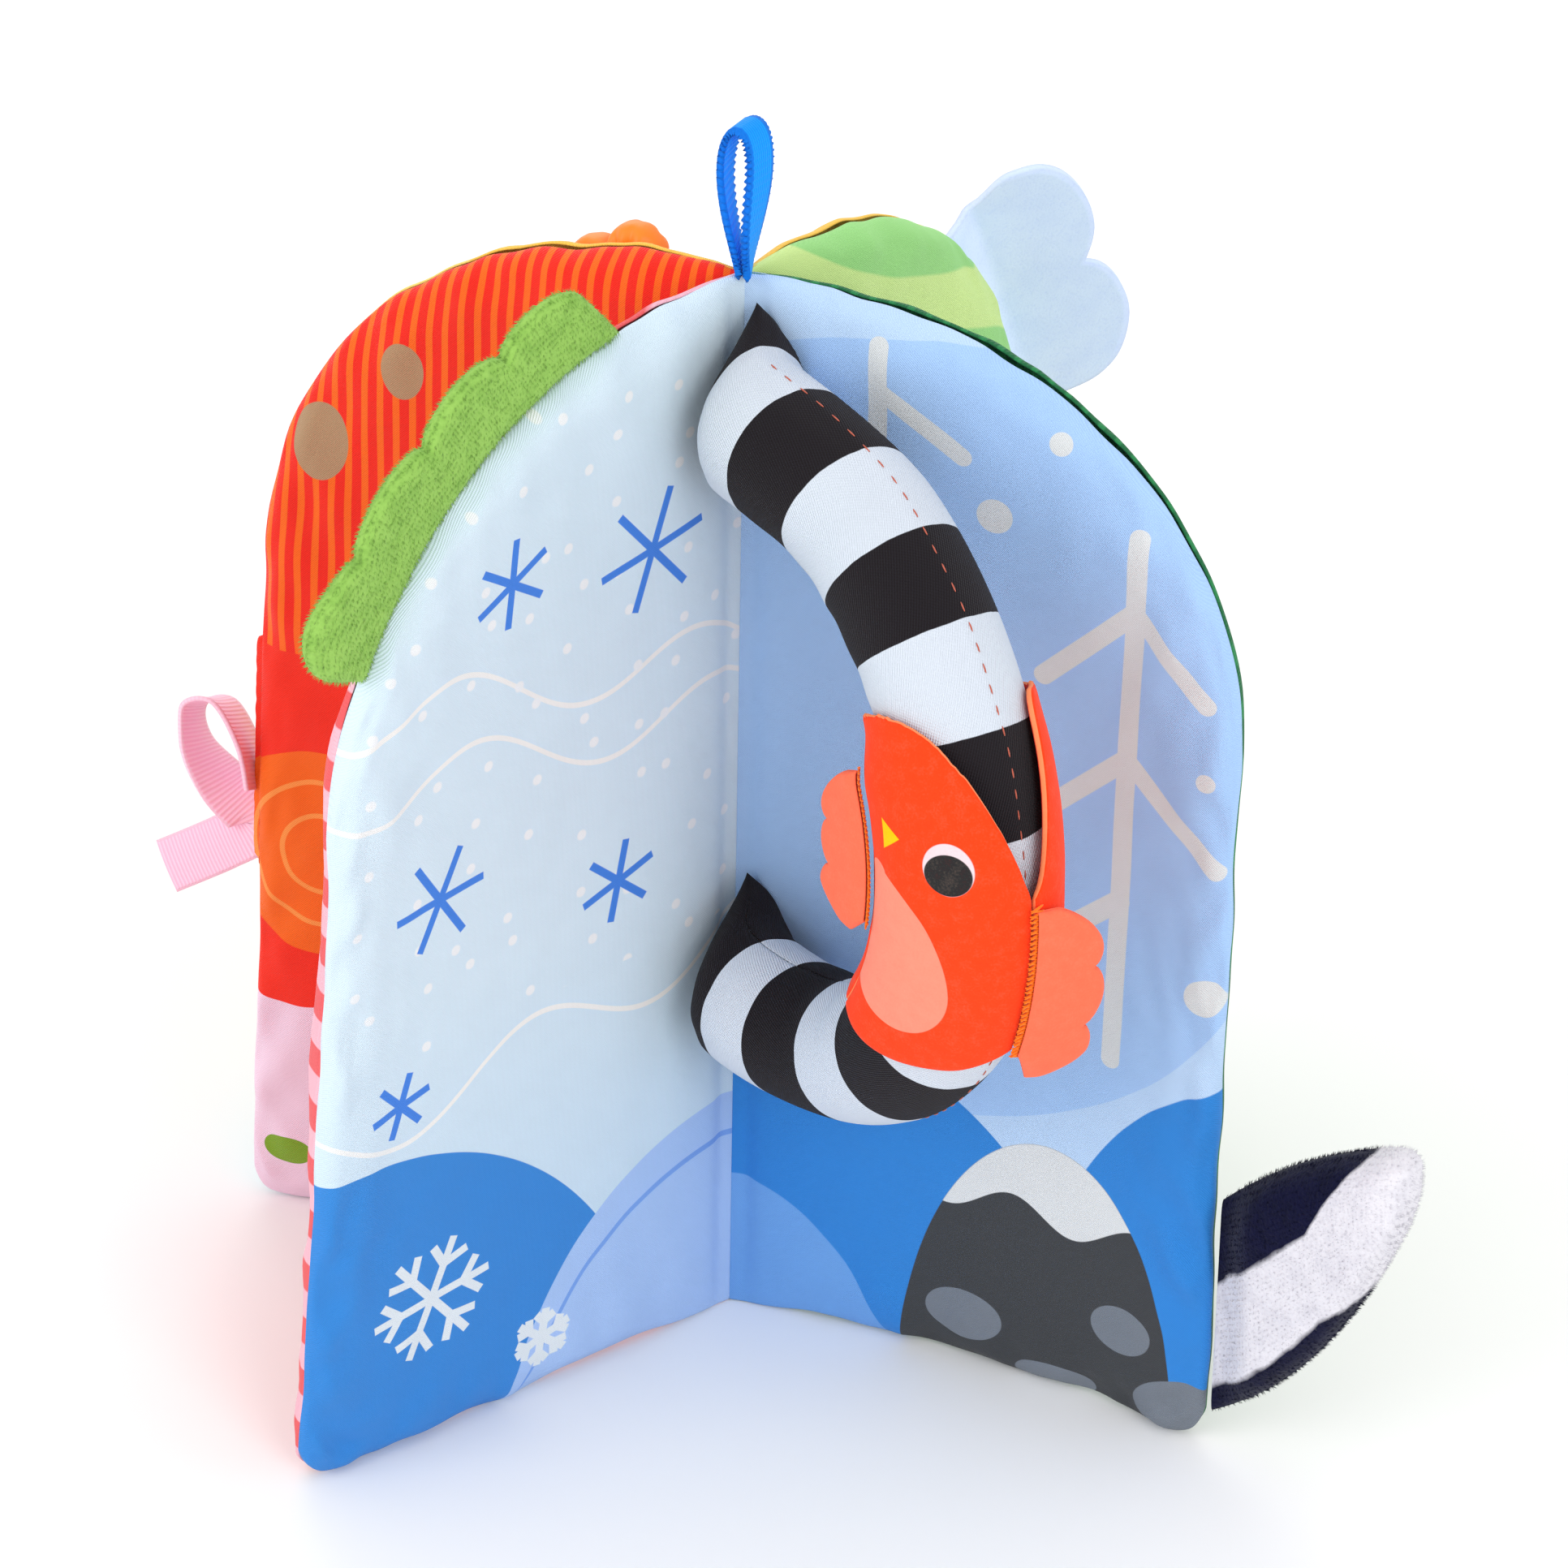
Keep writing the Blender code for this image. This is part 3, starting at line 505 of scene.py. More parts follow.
def risen_at(risen, facing, out, up):
    """The rise at a place between the bag's points."""
    across = min(max((out - LEAF_START) / (side(up) - LEAF_START), 0), 1)
    _, top = bag_point(across, 1)
    low = foot_line(min(out, LEAF_WIDTH))
    upward = min(max((up - low) / max(top - low, CLOTH), 0), 1)
    column, row = across * BAG_COLUMNS, upward * BAG_ROWS
    left, under = min(int(column), BAG_COLUMNS - 1), min(int(row), BAG_ROWS - 1)
    total = 0
    for step_across, step_up in ((0, 0), (0, 1), (1, 0), (1, 1)):
        share = abs(1 - step_across - column + left) * abs(1 - step_up - row + under)
        cell = (left + step_across) * (BAG_ROWS + 1) + under + step_up + 1
        total += share * risen.get(facing * cell, 0)
    return total


def waver(place, seed, width):
    """A slow random change along an edge, from 0 to 1."""
    return 0.5 + noise.noise(Vector((place / width, seed, 0)))


def make_page(leaf_name, page_name, facing, material, seed, risen):
    """One cloth of a leaf. The cloths of a leaf share its wavy outline."""
    leaf = Leaf(*LEAVES[leaf_name])
    turn = LEAVES[leaf_name][0]

    def place(across, upward):
        out, up = outline_grid(across**1.5, upward)
        column, row = across * PAGE_COLUMNS, upward * PAGE_ROWS
        from_edge = min(PAGE_COLUMNS - column, row, PAGE_ROWS - row)
        rim = mix(RIM_HALF, SEAM_HALF, ramp(from_edge / RIM_CELLS))
        inset = max(min(crown_inset(out, up), up), 0)
        near = smooth(inset / 0.0015) * math.exp(-inset / PUCKER_RUN)
        fold = noise.noise(Vector((out * 190, up * 130, seed * 7.3)))
        dent = noise.noise(Vector((out * 28, up * 22, seed)))
        shy = ramp(puff(out, up) / (PUFF_HALF - SEAM_HALF))
        turned = math.atan2(up - 0.09, out - LEAF_WIDTH / 2)
        crease = 0.42 - abs(noise.noise(Vector((turned * 6.5, inset * 16, seed * 3.1))))
        crease *= math.exp(-inset / 0.02)
        slack = PUCKER * near * fold + CREASE * smooth(inset / 0.003) * crease
        half = rim + puff(out, up)
        slack += 0.0003 * dent * shy + risen_at(risen, facing, out, up)
        slack = max(slack, SAG_MOST) * ramp(half / 0.002)
        slack *= smooth((out - 0.006) / 0.024)
        print_mark = (out * 100, up * 100)
        lifted = math.exp(-up / EDGE_RUN) * smooth(out / 0.02) * smooth((LEAF_WIDTH - out) / 0.01)
        shrunk = math.exp(-crown_inset(out, up) / EDGE_RUN) * smooth(out / 0.02)
        waved = up + FOOT_WAVE * waver(out, turn, 0.014) * lifted
        waved -= CROWN_WAVE * waver(out, turn + 5, 0.006) * shrunk * smooth((up - 0.12) / 0.03)
        drawn = out - SIDE_WAVE * waver(up, turn + 3, 0.012) * shrunk
        rolled = SEAM_ROLL * math.exp(-inset / SEAM_ROLL_RUN) * smooth(out / 0.02)
        rolled *= mix(SIDE_ROLL_SHARE, 1, smooth((up - 0.11) / 0.04))
        off = facing * (half + slack) + ROLLED_TOWARDS[leaf_name] * rolled
        return leaf.at(drawn, waved, off), print_mark

    piece = make_up(
        page_name + "_cloth",
        spread_cloth(PAGE_COLUMNS, PAGE_ROWS, place, flipped=facing > 0),
        [material],
        leaf_name + "_leaf",
        nodes=[page_name],
        thick=CLOTH,
    )


def line_to(across, up, start, end):
    """How far along a line each point lies, from 0 to 1, and how far off it."""
    run, rise = end[0] - start[0], end[1] - start[1]
    beside, above = across - start[0], up - start[1]
    share = ((beside * run + above * rise) / (run * run + rise * rise)).to("ADD", 0, clamped=True)
    off_x, off_y = beside - share * run, above - share * rise
    return share, (off_x * off_x + off_y * off_y).to("SQRT")


class Print:
    """A print, laid out in centimetres. Each motif goes over the ones before it."""

    def __init__(self, finish):
        self.finish = finish
        self.mark, self.across, self.up = finish.marks()
        self.color = None

    def ground(self, *shade):
        self.color = paint(*shade)

    def ink(self, motif, *shade):
        self.color = self.finish.over(motif, paint(*shade), self.color)

    def wave(self, pace, height, phase=0):
        return (self.across * pace + phase).to("SINE") * height

    def stripes(self, run, pitch, first, second, share=0.5):
        self.ground(*second)
        self.ink((run / (pitch / 2)).to("PINGPONG", 1).below(share, 0.06), *first)

    def disc(self, middle, reach, stretch=1.0):
        """A filled round, or an oval where its height is stretched."""
        beside, above = self.across - middle[0], (self.up - middle[1]) / stretch
        return (beside * beside + above * above).to("SQRT").below(reach)

    def discs(self, places, *shade, stretch=1.0, grown=1.0):
        for middle, reach in places:
            self.ink(self.disc(middle, reach * grown, stretch), *shade)

    def stroke(self, start, end, width):
        """A round-ended line."""
        return line_to(self.across, self.up, start, end)[1].below(width / 2)

    def crystal(self, middle, reach, turn, width, twigs):
        """A snow crystal with six arms, and a pair of twigs on each where it is a large one."""
        beside, above = self.across - middle[0], self.up - middle[1]
        distance = (beside * beside + above * above).to("SQRT")
        sixth = (above.to("ARCTAN2", beside) + math.radians(turn + 360)).to("PINGPONG", math.pi / 6)
        out, aside = distance * sixth.to("COSINE"), distance * sixth.to("SINE")
        arms = aside.below(width / 2) & out.below(reach)
        if twigs:
            bend = math.radians(50)
            from_fork = out - reach * 0.55
            along = from_fork * math.cos(bend) + aside * math.sin(bend)
            off = abs(aside * math.cos(bend) - from_fork * math.sin(bend))
            arms = arms | (off.below(width / 2) & along.below(reach * 0.42) & (0 - along).below(0))
        return arms

    def snow(self, spacing, reach):
        """Snow that falls in no order: one dot to each cell."""
        sockets = {"Vector": self.mark, "Scale": 1 / spacing, "Randomness": 0.75}
        near = self.finish.add("TexVoronoi", {"voronoi_dimensions": "2D"}, sockets)
        return near.below(reach / spacing, 0.03)


def winter_left_print(page):
    page.ground(219, 238, 251)
    page.ink(page.up.below(6.6, 6.0) * 0.5, 196, 222, 246)
    page.ink(page.disc((8.6, -1.2), 6.6, 1.18), 48, 137, 220)
    page.ink(page.disc((0.6, -2.6), 5.0, 1.45), 172, 203, 250)
    ridge = page.disc((0.6, -3.4), 5.0, 1.45) - page.disc((0.6, -3.46), 4.96, 1.45)
    page.ink(ridge, 120, 165, 240)
    for height, lean, phase in ((13.9, 0.22, 0.4), (12.9, 0.16, 0.9), (8.3, -0.12, 2.4)):
        gust = page.up - height - page.across * lean - page.wave(1.15, 0.55, phase)
        page.ink(abs(gust).below(0.055), 246, 247, 247)
    page.ink(page.snow(1.15, 0.1) & (8.6 - page.up).below(0), 244, 248, 252)
    for middle, reach, turn in (
        ((2.2, 16.6), 1.15, 10),
        ((5.4, 17.2), 0.85, 25),
        ((6.9, 11.6), 1.0, 3),
        ((2.9, 10.3), 0.8, 18),
        ((7.7, 7.7), 0.65, 12),
    ):
        page.ink(page.crystal(middle, reach, turn, 0.15, False), 62, 132, 232)
    for middle, reach, turn in (((6.9, 3.2), 1.25, 8), ((4.5, 1.3), 0.6, 20)):
        page.ink(page.crystal(middle, reach, turn, 0.17, True), 232, 240, 246)


def winter_right_print(page):
    page.ground(192, 220, 253)
    page.ink(page.disc((3.2, 12.8), 7.2, 1.05), 170, 206, 252)
    for start, end, width in (
        ((7.2, 7.4), (7.2, 17.6), 0.36),
        ((7.2, 16.2), (5.6, 14.6), 0.36),
        ((7.2, 16.2), (8.6, 14.8), 0.34),
        ((7.2, 13.4), (5.0, 11.3), 0.36),
        ((7.2, 13.4), (9.0, 11.7), 0.34),
        ((7.2, 10.6), (4.6, 8.3), 0.38),
        ((2.5, 18.2), (2.5, 20.2), 0.34),
        ((2.5, 19.4), (4.0, 18.4), 0.34),
    ):
        page.ink(page.stroke(start, end, width), 224, 228, 230)
    flakes = ((4.6, 17.4), 0.32), ((8.9, 9.2), 0.36), ((5.7, 19.0), 0.2), ((8.7, 13.4), 0.18)
    page.discs(flakes, 224, 228, 230)
    page.ink(page.disc((2.0, -3.6), 6.2, 1.6) | page.disc((9.8, -1.0), 4.2, 2.0), 42, 135, 220)
    page.ink(page.disc((0.2, -4.0), 3.6, 1.9), 110, 168, 236)
    stone = page.disc((6.1, -0.6), 2.75, 2.1)
    page.ink(stone, 58, 61, 65)
    bare = (page.up - 3.7 - page.wave(2.6, 0.28)).below(0, 0.02)
    page.ink(stone & (1 - bare), 226, 229, 231)
    for middle, reach, stretch in (
        ((4.6, 1.1), 0.75, 0.7),
        ((7.7, 1.9), 0.6, 0.8),
        ((6.4, 0.2), 0.8, 0.5),
        ((8.9, 0.5), 0.9, 0.8),
    ):
        page.ink(page.disc(middle, reach, stretch), 118, 126, 137)


def autumn_left_print(page):
    page.stripes(page.across, 0.31, (255, 108, 14), (248, 36, 14), 0.42)
    page.ink(page.up.below(11.6), 250, 42, 16)
    for middle, reach in (((7.9, 7.6), 2.1), ((3.6, 8.3), 1.8)):
        page.ink(page.disc(middle, reach), 252, 104, 8)
        for inner in (0.72, 0.4):
            ring = page.disc(middle, reach * inner) - page.disc(middle, reach * inner - 0.1)
            page.ink(ring, 255, 152, 70)
    page.ink((page.up - page.wave(1.3, 0.25)).below(4.6), 250, 216, 236)
    leaves = ((6.9, 2.6), 0.7), ((4.0, 1.4), 0.8), ((8.6, 1.2), 0.5)
    page.discs(leaves, 128, 166, 38, stretch=0.6)
    acorns = ((8.0, 15.9), 0.55), ((5.6, 13.4), 0.6), ((6.4, 17.6), 0.4)
    page.discs(acorns, 182, 146, 110, stretch=1.35)


def autumn_right_print(page):
    page.stripes(page.up + page.wave(0.9, 0.12), 1.15, (238, 92, 96), (248, 186, 202))
    leaves = (4.4, 15.0, 1.1), (6.9, 9.6, 0.9), (3.0, 6.4, 1.3), (7.2, 3.2, 1.0)
    for out, up, reach in leaves:
        page.ink(page.disc((out, up), reach, 1.3), 255, 150, 60)
        page.ink(page.stroke((out, up - reach * 1.2), (out, up + reach), 0.09), 236, 92, 30)


def spring_right_print(page):
    slope = page.up + page.across * 0.62 + page.wave(0.55, 0.5)
    page.stripes(slope, 2.4, (212, 242, 152), (156, 222, 132))
    buds = [(middle, 0.32) for middle in ((7.4, 14.4), (4.4, 11.4), (7.0, 8.2), (2.8, 16.2))]
    page.discs(buds, 255, 160, 30)
    page.ink((page.up - page.wave(1.6, 0.3)).below(3.6), 74, 168, 74)


def spring_left_print(page):
    blades = (page.across * 6.0 + (page.up * 1.1).to("SINE") * 1.2).to("PINGPONG", 1)
    page.ground(16, 104, 58)
    page.ink(blades.below(0.35, 0.2), 34, 132, 74)
    for flower in (((3.0, 14.4), 0.9), ((6.6, 11.2), 1.1), ((3.6, 7.2), 0.8), ((7.0, 4.6), 0.9)):
        page.discs([flower], 236, 130, 170)
        page.discs([flower], 255, 214, 90, grown=0.4)


def summer_print(page):
    page.stripes(page.up + page.wave(1.5, 0.3), 3.2, (255, 222, 120), (252, 200, 78))
    page.ink(page.disc((5.6, 15.2), 1.6), 255, 150, 40)
    sea = page.up - page.wave(2.2, 0.22)
    page.ink(sea.below(5.4), 60, 178, 205)
    page.ink(abs(sea - 5.4).below(0.12), 240, 248, 248)
    for height in (3.8, 2.2):
        ripple = page.up - height - page.wave(2.2, 0.22, height)
        page.ink(abs(ripple).below(0.06), 160, 220, 232)


def ribbed(finish, mark, pitch, slope=1.0):
    """The height of a twill: fine slanting ribs, broken where the threads cross."""
    across = finish.add("SeparateXYZ", None, {0: mark})
    up = across.pick(1)
    rib = ((across + up * slope) * (math.tau / pitch)).to("SINE")
    thread = ((across * slope - up) * (math.tau / pitch)).to("SINE")
    return rib * 0.38 + thread * 0.12 + 0.5


def satin(name, draw):
    """Printed polyester satin: fine slanting ribs with painted shade in their grooves, a slight
    sheen and an uneven ink.
    """
    finish = Finish(name, 0.62, sheen=0.05, shine=0.25)
    page = Print(finish)
    draw(page)
    patch = finish.cloud(1.3, 3.0, page.mark)
    page.ink(patch.below(0.45, 0.5) * 0.03, 40, 34, 44)
    height = ribbed(finish, page.mark, 0.042)
    # Painted shade: the low parts of the ribs are darkened by up to 8 percent.
    page.ink((1 - height) * 0.08, 40, 34, 44)
    finish.feed("Base Color", page.color)
    finish.feed("Roughness", patch * 0.14 + 0.55)
    return finish.emboss(height, 0.0001)


risen_leaves = {}
for leaf_name, shape in LEAVES.items():
    risen_leaves[leaf_name] = swell(Leaf(*shape))

for leaf_name, page_name, facing, draw, slot, seed in (
    ("front_left", "winter_left_page", 1, winter_left_print, "winter_print", 1),
    ("front_left", "autumn_right_page", -1, autumn_right_print, "autumn_print", 2),
    ("front_right", "winter_right_page", -1, winter_right_print, "winter_print", 3),
    ("front_right", "spring_left_page", 1, spring_left_print, "spring_print", 4),
    ("back_right", "spring_right_page", -1, spring_right_print, "spring_print", 5),
    ("back_right", "summer_left_page", 1, summer_print, "summer_print", 6),
    ("back_left", "autumn_left_page", 1, autumn_left_print, "autumn_print", 7),
    ("back_left", "summer_right_page", -1, summer_print, "summer_print", 8),
):
    cloth = satin(page_name + "_satin", draw)
    make_page(leaf_name, page_name, facing, cloth, seed, risen_leaves[leaf_name])

# Inside the leaves, the tube and the tail: white polyester fibre, and in two leaves a
# sheet of clear film that crackles. They keep their own solids.


def fibre_fill():
    finish = Finish("white_fibre", 0.95)
    strands = finish.cloud(900.0, 4.0)
    finish.dye(strands, paint(244, 244, 240), paint(226, 227, 224))
    return finish.emboss(strands, 0.0004)


def crackling_film():
    finish = Finish("clear_film", 0.15, shine=0.5)
    finish.shader.inputs["Transmission Weight"].default_value = 0.6
    place = finish.add("TexCoord", output=3)
    creases = finish.add("TexVoronoi", None, {"Vector": place, "Scale": 90.0})
    finish.dye(creases, paint(232, 238, 244), paint(214, 224, 232))
    return finish.emboss(creases, 0.0005)


fibre = fibre_fill()
for endings, material in ((("_batting", "_stuffing"), fibre), (("_film",), crackling_film())):
    for node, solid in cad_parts.items():
        if node.endswith(endings):
            solid.data.materials.clear()
            solid.data.materials.append(material)

# Spine: the cloth edges of the four leaves, gathered and sewn through into one thin cord
# that the page cloths cover.
SPINE_CORE = 0.0005
SPINE_TOP = 0.2088


def spine_place(around, upward):
    turn = math.tau * around
    closing = ramp(min(upward, 1 - upward) * 60)
    gathered = 1 + 0.06 * math.cos(8 * turn) + 1.6 * smooth((upward - 0.985) * 70)
    seat = direction(math.degrees(turn)) * SPINE_CORE * gathered * closing
    return seat + Vector((0, 0, SPINE_TOP * upward)), (around * 2, upward * SPINE_TOP * 100)


def gathered_edges():
    finish = Finish("gathered_edges", 0.75)
    _, _, up = finish.marks()
    wraps = (up / 0.035).to("PINGPONG", 1)
    finish.dye(wraps, paint(150, 182, 232), paint(184, 208, 244))
    return finish.emboss(wraps, 0.00015)


make_up(
    "spine_seam_edges",
    spread_cloth(48, 120, spine_place, merged=True),
    [gathered_edges()],
    "spine",
    nodes=["spine_seam"],
    rounds=0,
)

# Striped tube: a twill sleeve stuffed with fibre, bent through half a circle, its two
# ends pinched flat and sewn into the spine. Orange thread closes its seam from outside.
TUBE_TURN = -57.0
TUBE_RADIUS = 0.0125
TUBE_BEND = 0.056
TUBE_LEAD = 0.017
TUBE_MIDDLE = 0.128
TUBE_START = 0.0039
TUBE_END_HALF = 0.0012
TUBE_TAPER = 0.026
TUBE_CELLS_ROUND = 64
TUBE_CELLS_LONG = 160
TUBE_SEAM = 5.0
TUBE_SAG = 0.0058
TUBE_RAISE = 0.0042
TUBE_FREE = 0.037
STRIPE = 1.55
STRIPE_PHASE = 4.99
STITCH_PITCH = 0.0029

tube_out = direction(TUBE_TURN)
tube_face = leftward(tube_out)
tube_centre = tube_out * TUBE_LEAD + Vector((0, 0, TUBE_MIDDLE))
tube_lead = TUBE_LEAD - TUBE_START
tube_length = 2 * tube_lead + math.pi * TUBE_BEND


def tube_arc(degrees):
    turn = math.radians(degrees)
    return tube_out * math.cos(turn) - Vector((0, 0, math.sin(turn)))


def tube_middle(run):
    """(middle, outward direction) of the tube at a distance along it."""
    if run < tube_lead:
        lift = Vector((0, 0, TUBE_MIDDLE + TUBE_BEND))
        return tube_out * (TUBE_START + run) + lift, Vector((0, 0, 1))
    if run > tube_length - tube_lead:
        lift = Vector((0, 0, TUBE_MIDDLE - TUBE_BEND))
        return tube_out * (TUBE_START + tube_length - run) + lift, Vector((0, 0, -1))
    radial = tube_arc(math.degrees((run - tube_lead) / TUBE_BEND) - 90)
    return tube_centre + radial * TUBE_BEND, radial


def tube_surface(run, turn, lift=0):
    """A point on the tube's skin. It sags a little to the left beside the spine."""
    middle, radial = tube_middle(run)
    near = min(run, tube_length - run)
    full = math.sin(ramp(near / TUBE_TAPER) * math.pi / 2) ** 1.3
    thick = mix(TUBE_END_HALF, TUBE_RADIUS, full)
    tall = math.sqrt(2 * TUBE_RADIUS**2 - thick**2)
    across = radial * math.cos(turn) * (tall + lift)
    sag = TUBE_SAG * smooth(near / 0.010) * smooth((TUBE_FREE - near) / 0.027)
    raised = Vector((0, 0, TUBE_RAISE * smooth((TUBE_FREE - near) / 0.030)))
    return middle + raised + across + tube_face * (math.sin(turn) * (thick + lift) - sag)


def tube_place(around, along):
    turn = math.tau * (around - 0.5)
    run = tube_length * along
    near = min(run, tube_length - run)
    from_seam = abs(math.degrees(turn) - TUBE_SEAM)
    seam = 0.00045 * math.exp(-((from_seam / 5) ** 2))
    seam -= 0.0003 * math.exp(-((from_seam / 1.6) ** 2))
    gather = noise.noise(Vector((math.cos(turn) * 3, math.sin(turn) * 3, run * 60)))
    slack = 0.0007 * gather * math.exp(-near / 0.016) * smooth(near / 0.004)
    inner = smooth(-math.cos(turn)) * smooth(near / 0.05)
    slack += 0.00022 * inner * math.sin(run * 620 + 2 * noise.noise(Vector((run * 90, turn, 0))))
    return tube_surface(run, turn, seam + slack), (turn * TUBE_RADIUS * 100, run * 100)


def striped_twill():
    finish = Finish("striped_twill", 0.8, sheen=0.05, shine=0.15)
    mark, _, run = finish.marks()
    uneven = finish.cloud(3.0, mark=mark)
    drawn = run - ((5.77 - run) | 0) * 0.12 - ((2.4 - run) | 0) * 0.35
    drawn = (drawn + ((run - 17.5) | 0) * 0.6) & 21.0
    edge = drawn + (uneven - 0.5) * 0.03
    middle_band = ((edge - STRIPE_PHASE) / STRIPE).to("PINGPONG", 1).below(0.5, 0.008)
    black, white = paint(24, 17, 21), paint(222, 230, 242)
    color = finish.over(middle_band, black, white)
    height = ribbed(finish, mark, 0.05, 0.55)
    # Painted shade: the twill's grooves are mixed 7 percent toward grey-blue. This darkens them on
    # the white stripes and pales them a little on the black.
    finish.dye((1 - height) * 0.07, paint(90, 95, 110), color)
    return finish.emboss(height, 0.0002)


tube = make_up(
    "striped_tube",
    spread_cloth(TUBE_CELLS_ROUND, TUBE_CELLS_LONG, tube_place, merged=True),
    [striped_twill()],
    "tube",
    nodes=["striped_tube_cover"],
    thick=CLOTH,
)


def fill_place(around, along):
    run = tube_length * along
    return tube_surface(run, math.tau * around, -TUBE_END_HALF), (around, along)


make_up(
    "striped_tube_fill",
    spread_cloth(24, 80, fill_place, merged=True),
    [fibre],
    "tube",
    nodes=["striped_tube_stuffing"],
    rounds=0,
)


def sewing_thread(name, color, shade):
    """Twisted polyester thread, with painted shade in its shade colour where the twist lies low."""
    finish = Finish(name, 0.6, sheen=0.2)
    twist = finish.cloud(2500.0, 1.0)
    finish.dye(twist, color, shade)
    return finish.emboss(twist, 0.0001)


def stitches(name, seats, material, body, width):
    """A row of stitches. Each lies from one point to another, half sunk in the cloth."""
    row = bmesh.new()
    for start, end in seats:
        run = end - start
        turned = run.to_track_quat("Z", "Y").to_matrix().to_4x4()
        length = run.length * 0.56
        shape = Matrix.Diagonal((width / 2, width / 2, length, 1))
        place = Matrix.Translation((start + end) / 2) @ turned @ shape
        bmesh.ops.create_uvsphere(row, u_segments=6, v_segments=5, radius=1, matrix=place)
    return make_up(name, row, [material], body, rounds=0)


thread_seats = []
run = 0.012
while run < tube_length - 0.012:
    turn = math.radians(TUBE_SEAM + 0.6 * math.sin(run * 4000))
    start = tube_surface(run, turn, 0.00022)
    thread_seats.append((start, tube_surface(run + STITCH_PITCH * 0.45, turn, 0.00022)))
    run += STITCH_PITCH
tube_thread = sewing_thread("salmon_thread", paint(214, 108, 84), paint(160, 76, 60))
stitches("tube_seam_thread", thread_seats, tube_thread, "tube", 0.00028)

# Bird: a sleeve of two printed felt sheets round the tube, sewn down both sides and cut
# bare at the neck and the tail, so it slides along the bend.
FELT = 0.0013
SLEEVE_CLEARANCE = 0.0005
SLEEVE_SEAM_BULGE = 0.0025
SLEEVE_TIGHT_ARC = 14.0
BIRD_LEFT_SEAM = -120.0
BIRD_RIGHT_SEAM = 0.0
BIRD_TAIL_LEFT = 34.0
BIRD_TAIL_RIGHT = 20.0
BIRD_CREST = -36.0
BIRD_COLLAR = -5.0
BIRD_NAPE = -32.0
BIRD_NAPE_RISE = 0.16
BIRD_RIM_POWER = 3.0
BIRD_HEM_POWER = 1.7
BIRD_CELLS_ROUND = 56
BIRD_CELLS_LONG = 36
FELT_CM_ROUND = 0.025
FELT_CM_ALONG = 0.105


def sleeve_radius(turn, arc):
    """Round the tube, drawn out to the two side seams, and tight at the crest."""
    seams = (BIRD_LEFT_SEAM, BIRD_RIGHT_SEAM)
    near = sum(max(math.cos(turn - math.radians(seam)), 0) ** 4 for seam in seams)
    slack = smooth((arc - BIRD_CREST) / SLEEVE_TIGHT_ARC)
    return TUBE_RADIUS + SLEEVE_CLEARANCE + SLEEVE_SEAM_BULGE * near * slack


def round_tube(arc, turn, radius):
    radial = tube_arc(arc)
    across = (radial * math.cos(turn) + tube_face * math.sin(turn)) * radius
    return tube_centre + radial * TUBE_BEND + across


def felt_sheet(first_seam, last_seam, hem, rim, seed):
    shrink = math.degrees(SEAM_GAP / TUBE_RADIUS) / 2

    def place(around, along):
        degrees = mix(first_seam + shrink, last_seam - shrink, around)
        turn = math.radians(degrees)
        arc = mix(hem(around), rim(around), along)
        soft = 0.00018 * noise.noise(Vector((degrees * 0.05, arc * 0.12, seed)))
        cut = 0.0012 * (noise.noise(Vector((degrees * 0.5, seed, 0)))) * (along > 0.999)
        arc += math.degrees(cut / TUBE_BEND)
        seat = round_tube(arc, turn, sleeve_radius(turn, arc) + FELT + soft)
        return seat, (degrees * FELT_CM_ROUND, arc * FELT_CM_ALONG)

    return spread_cloth(BIRD_CELLS_ROUND, BIRD_CELLS_LONG, place)


def felted(finish, color):
    """Short matted fibres: mottled, soft and without any shine."""
    coarse, fine = finish.cloud(420.0, 3.0), finish.cloud(2600.0)
    mottle = (coarse * 0.5 + fine * 0.5 - 0.5) * 1.6
    color = finish.over(mottle.to("ADD", 0, clamped=True) * 0.25, paint(160, 36, 20), color)
    finish.dye((0 - mottle).to("ADD", 0, clamped=True) * 0.14, paint(255, 206, 180), color)
    return finish.emboss(coarse * 0.4 + fine * 0.6, 0.00012)


def plain_felt(name, color):
    return felted(Finish(name, 0.95, sheen=0.08, shine=0.1), color)


def oval(across, up, middle, reaches):
    beside = (across - middle[0]) / reaches[0]
    above = (up - middle[1]) / reaches[1]
    return (beside * beside + above * above).to("SQRT").below(1, 0.04)


def drop(across, up, point, middle, small, large):
    """A full drop, from its small end to its large end."""
    share, off = line_to(across, up, point, middle)
    return (off - share * (2 - share) * (large - small)).below(small)


def three_sided(across, up, corners):
    """A triangle with slightly rounded corners, its corners given anticlockwise."""
    outside = None
    for start, end in zip(corners, corners[1:] + corners[:1]):
        run, rise = end[0] - start[0], end[1] - start[1]
        length = math.hypot(run, rise)
        off = (across - start[0]) * (rise / length) - (up - start[1]) * (run / length)
        outside = off if outside is None else outside | off
    return outside.below(0.0)


def bird_print():
    """Orange felt, printed with a pale breast, a beak and an eye, laid out in centimetres."""
    finish = Finish("printed_bird_felt", 0.95, sheen=0.06, shine=0.1)
    felt = Print(finish)
    around, arc = felt.across, felt.up
    felt.ground(253, 66, 22)
    felt.ink(drop(around, arc, (-2.72, -0.70), (-2.3, 1.38), 0.22, 1.12), 250, 142, 118)
    beak = three_sided(around, arc, ((-2.43, -1.88), (-2.12, -1.52), (-2.48, -1.27)))
    felt.ink(beak, 255, 196, 0)
    felt.ink(oval(around, arc, (-1.287, -1.085), (0.44, 0.435)), 228, 208, 214)
    felt.ink(oval(around, arc, (-1.295, -0.995), (0.413, 0.345)), 40, 41, 42)
    return felted(finish, felt.color)
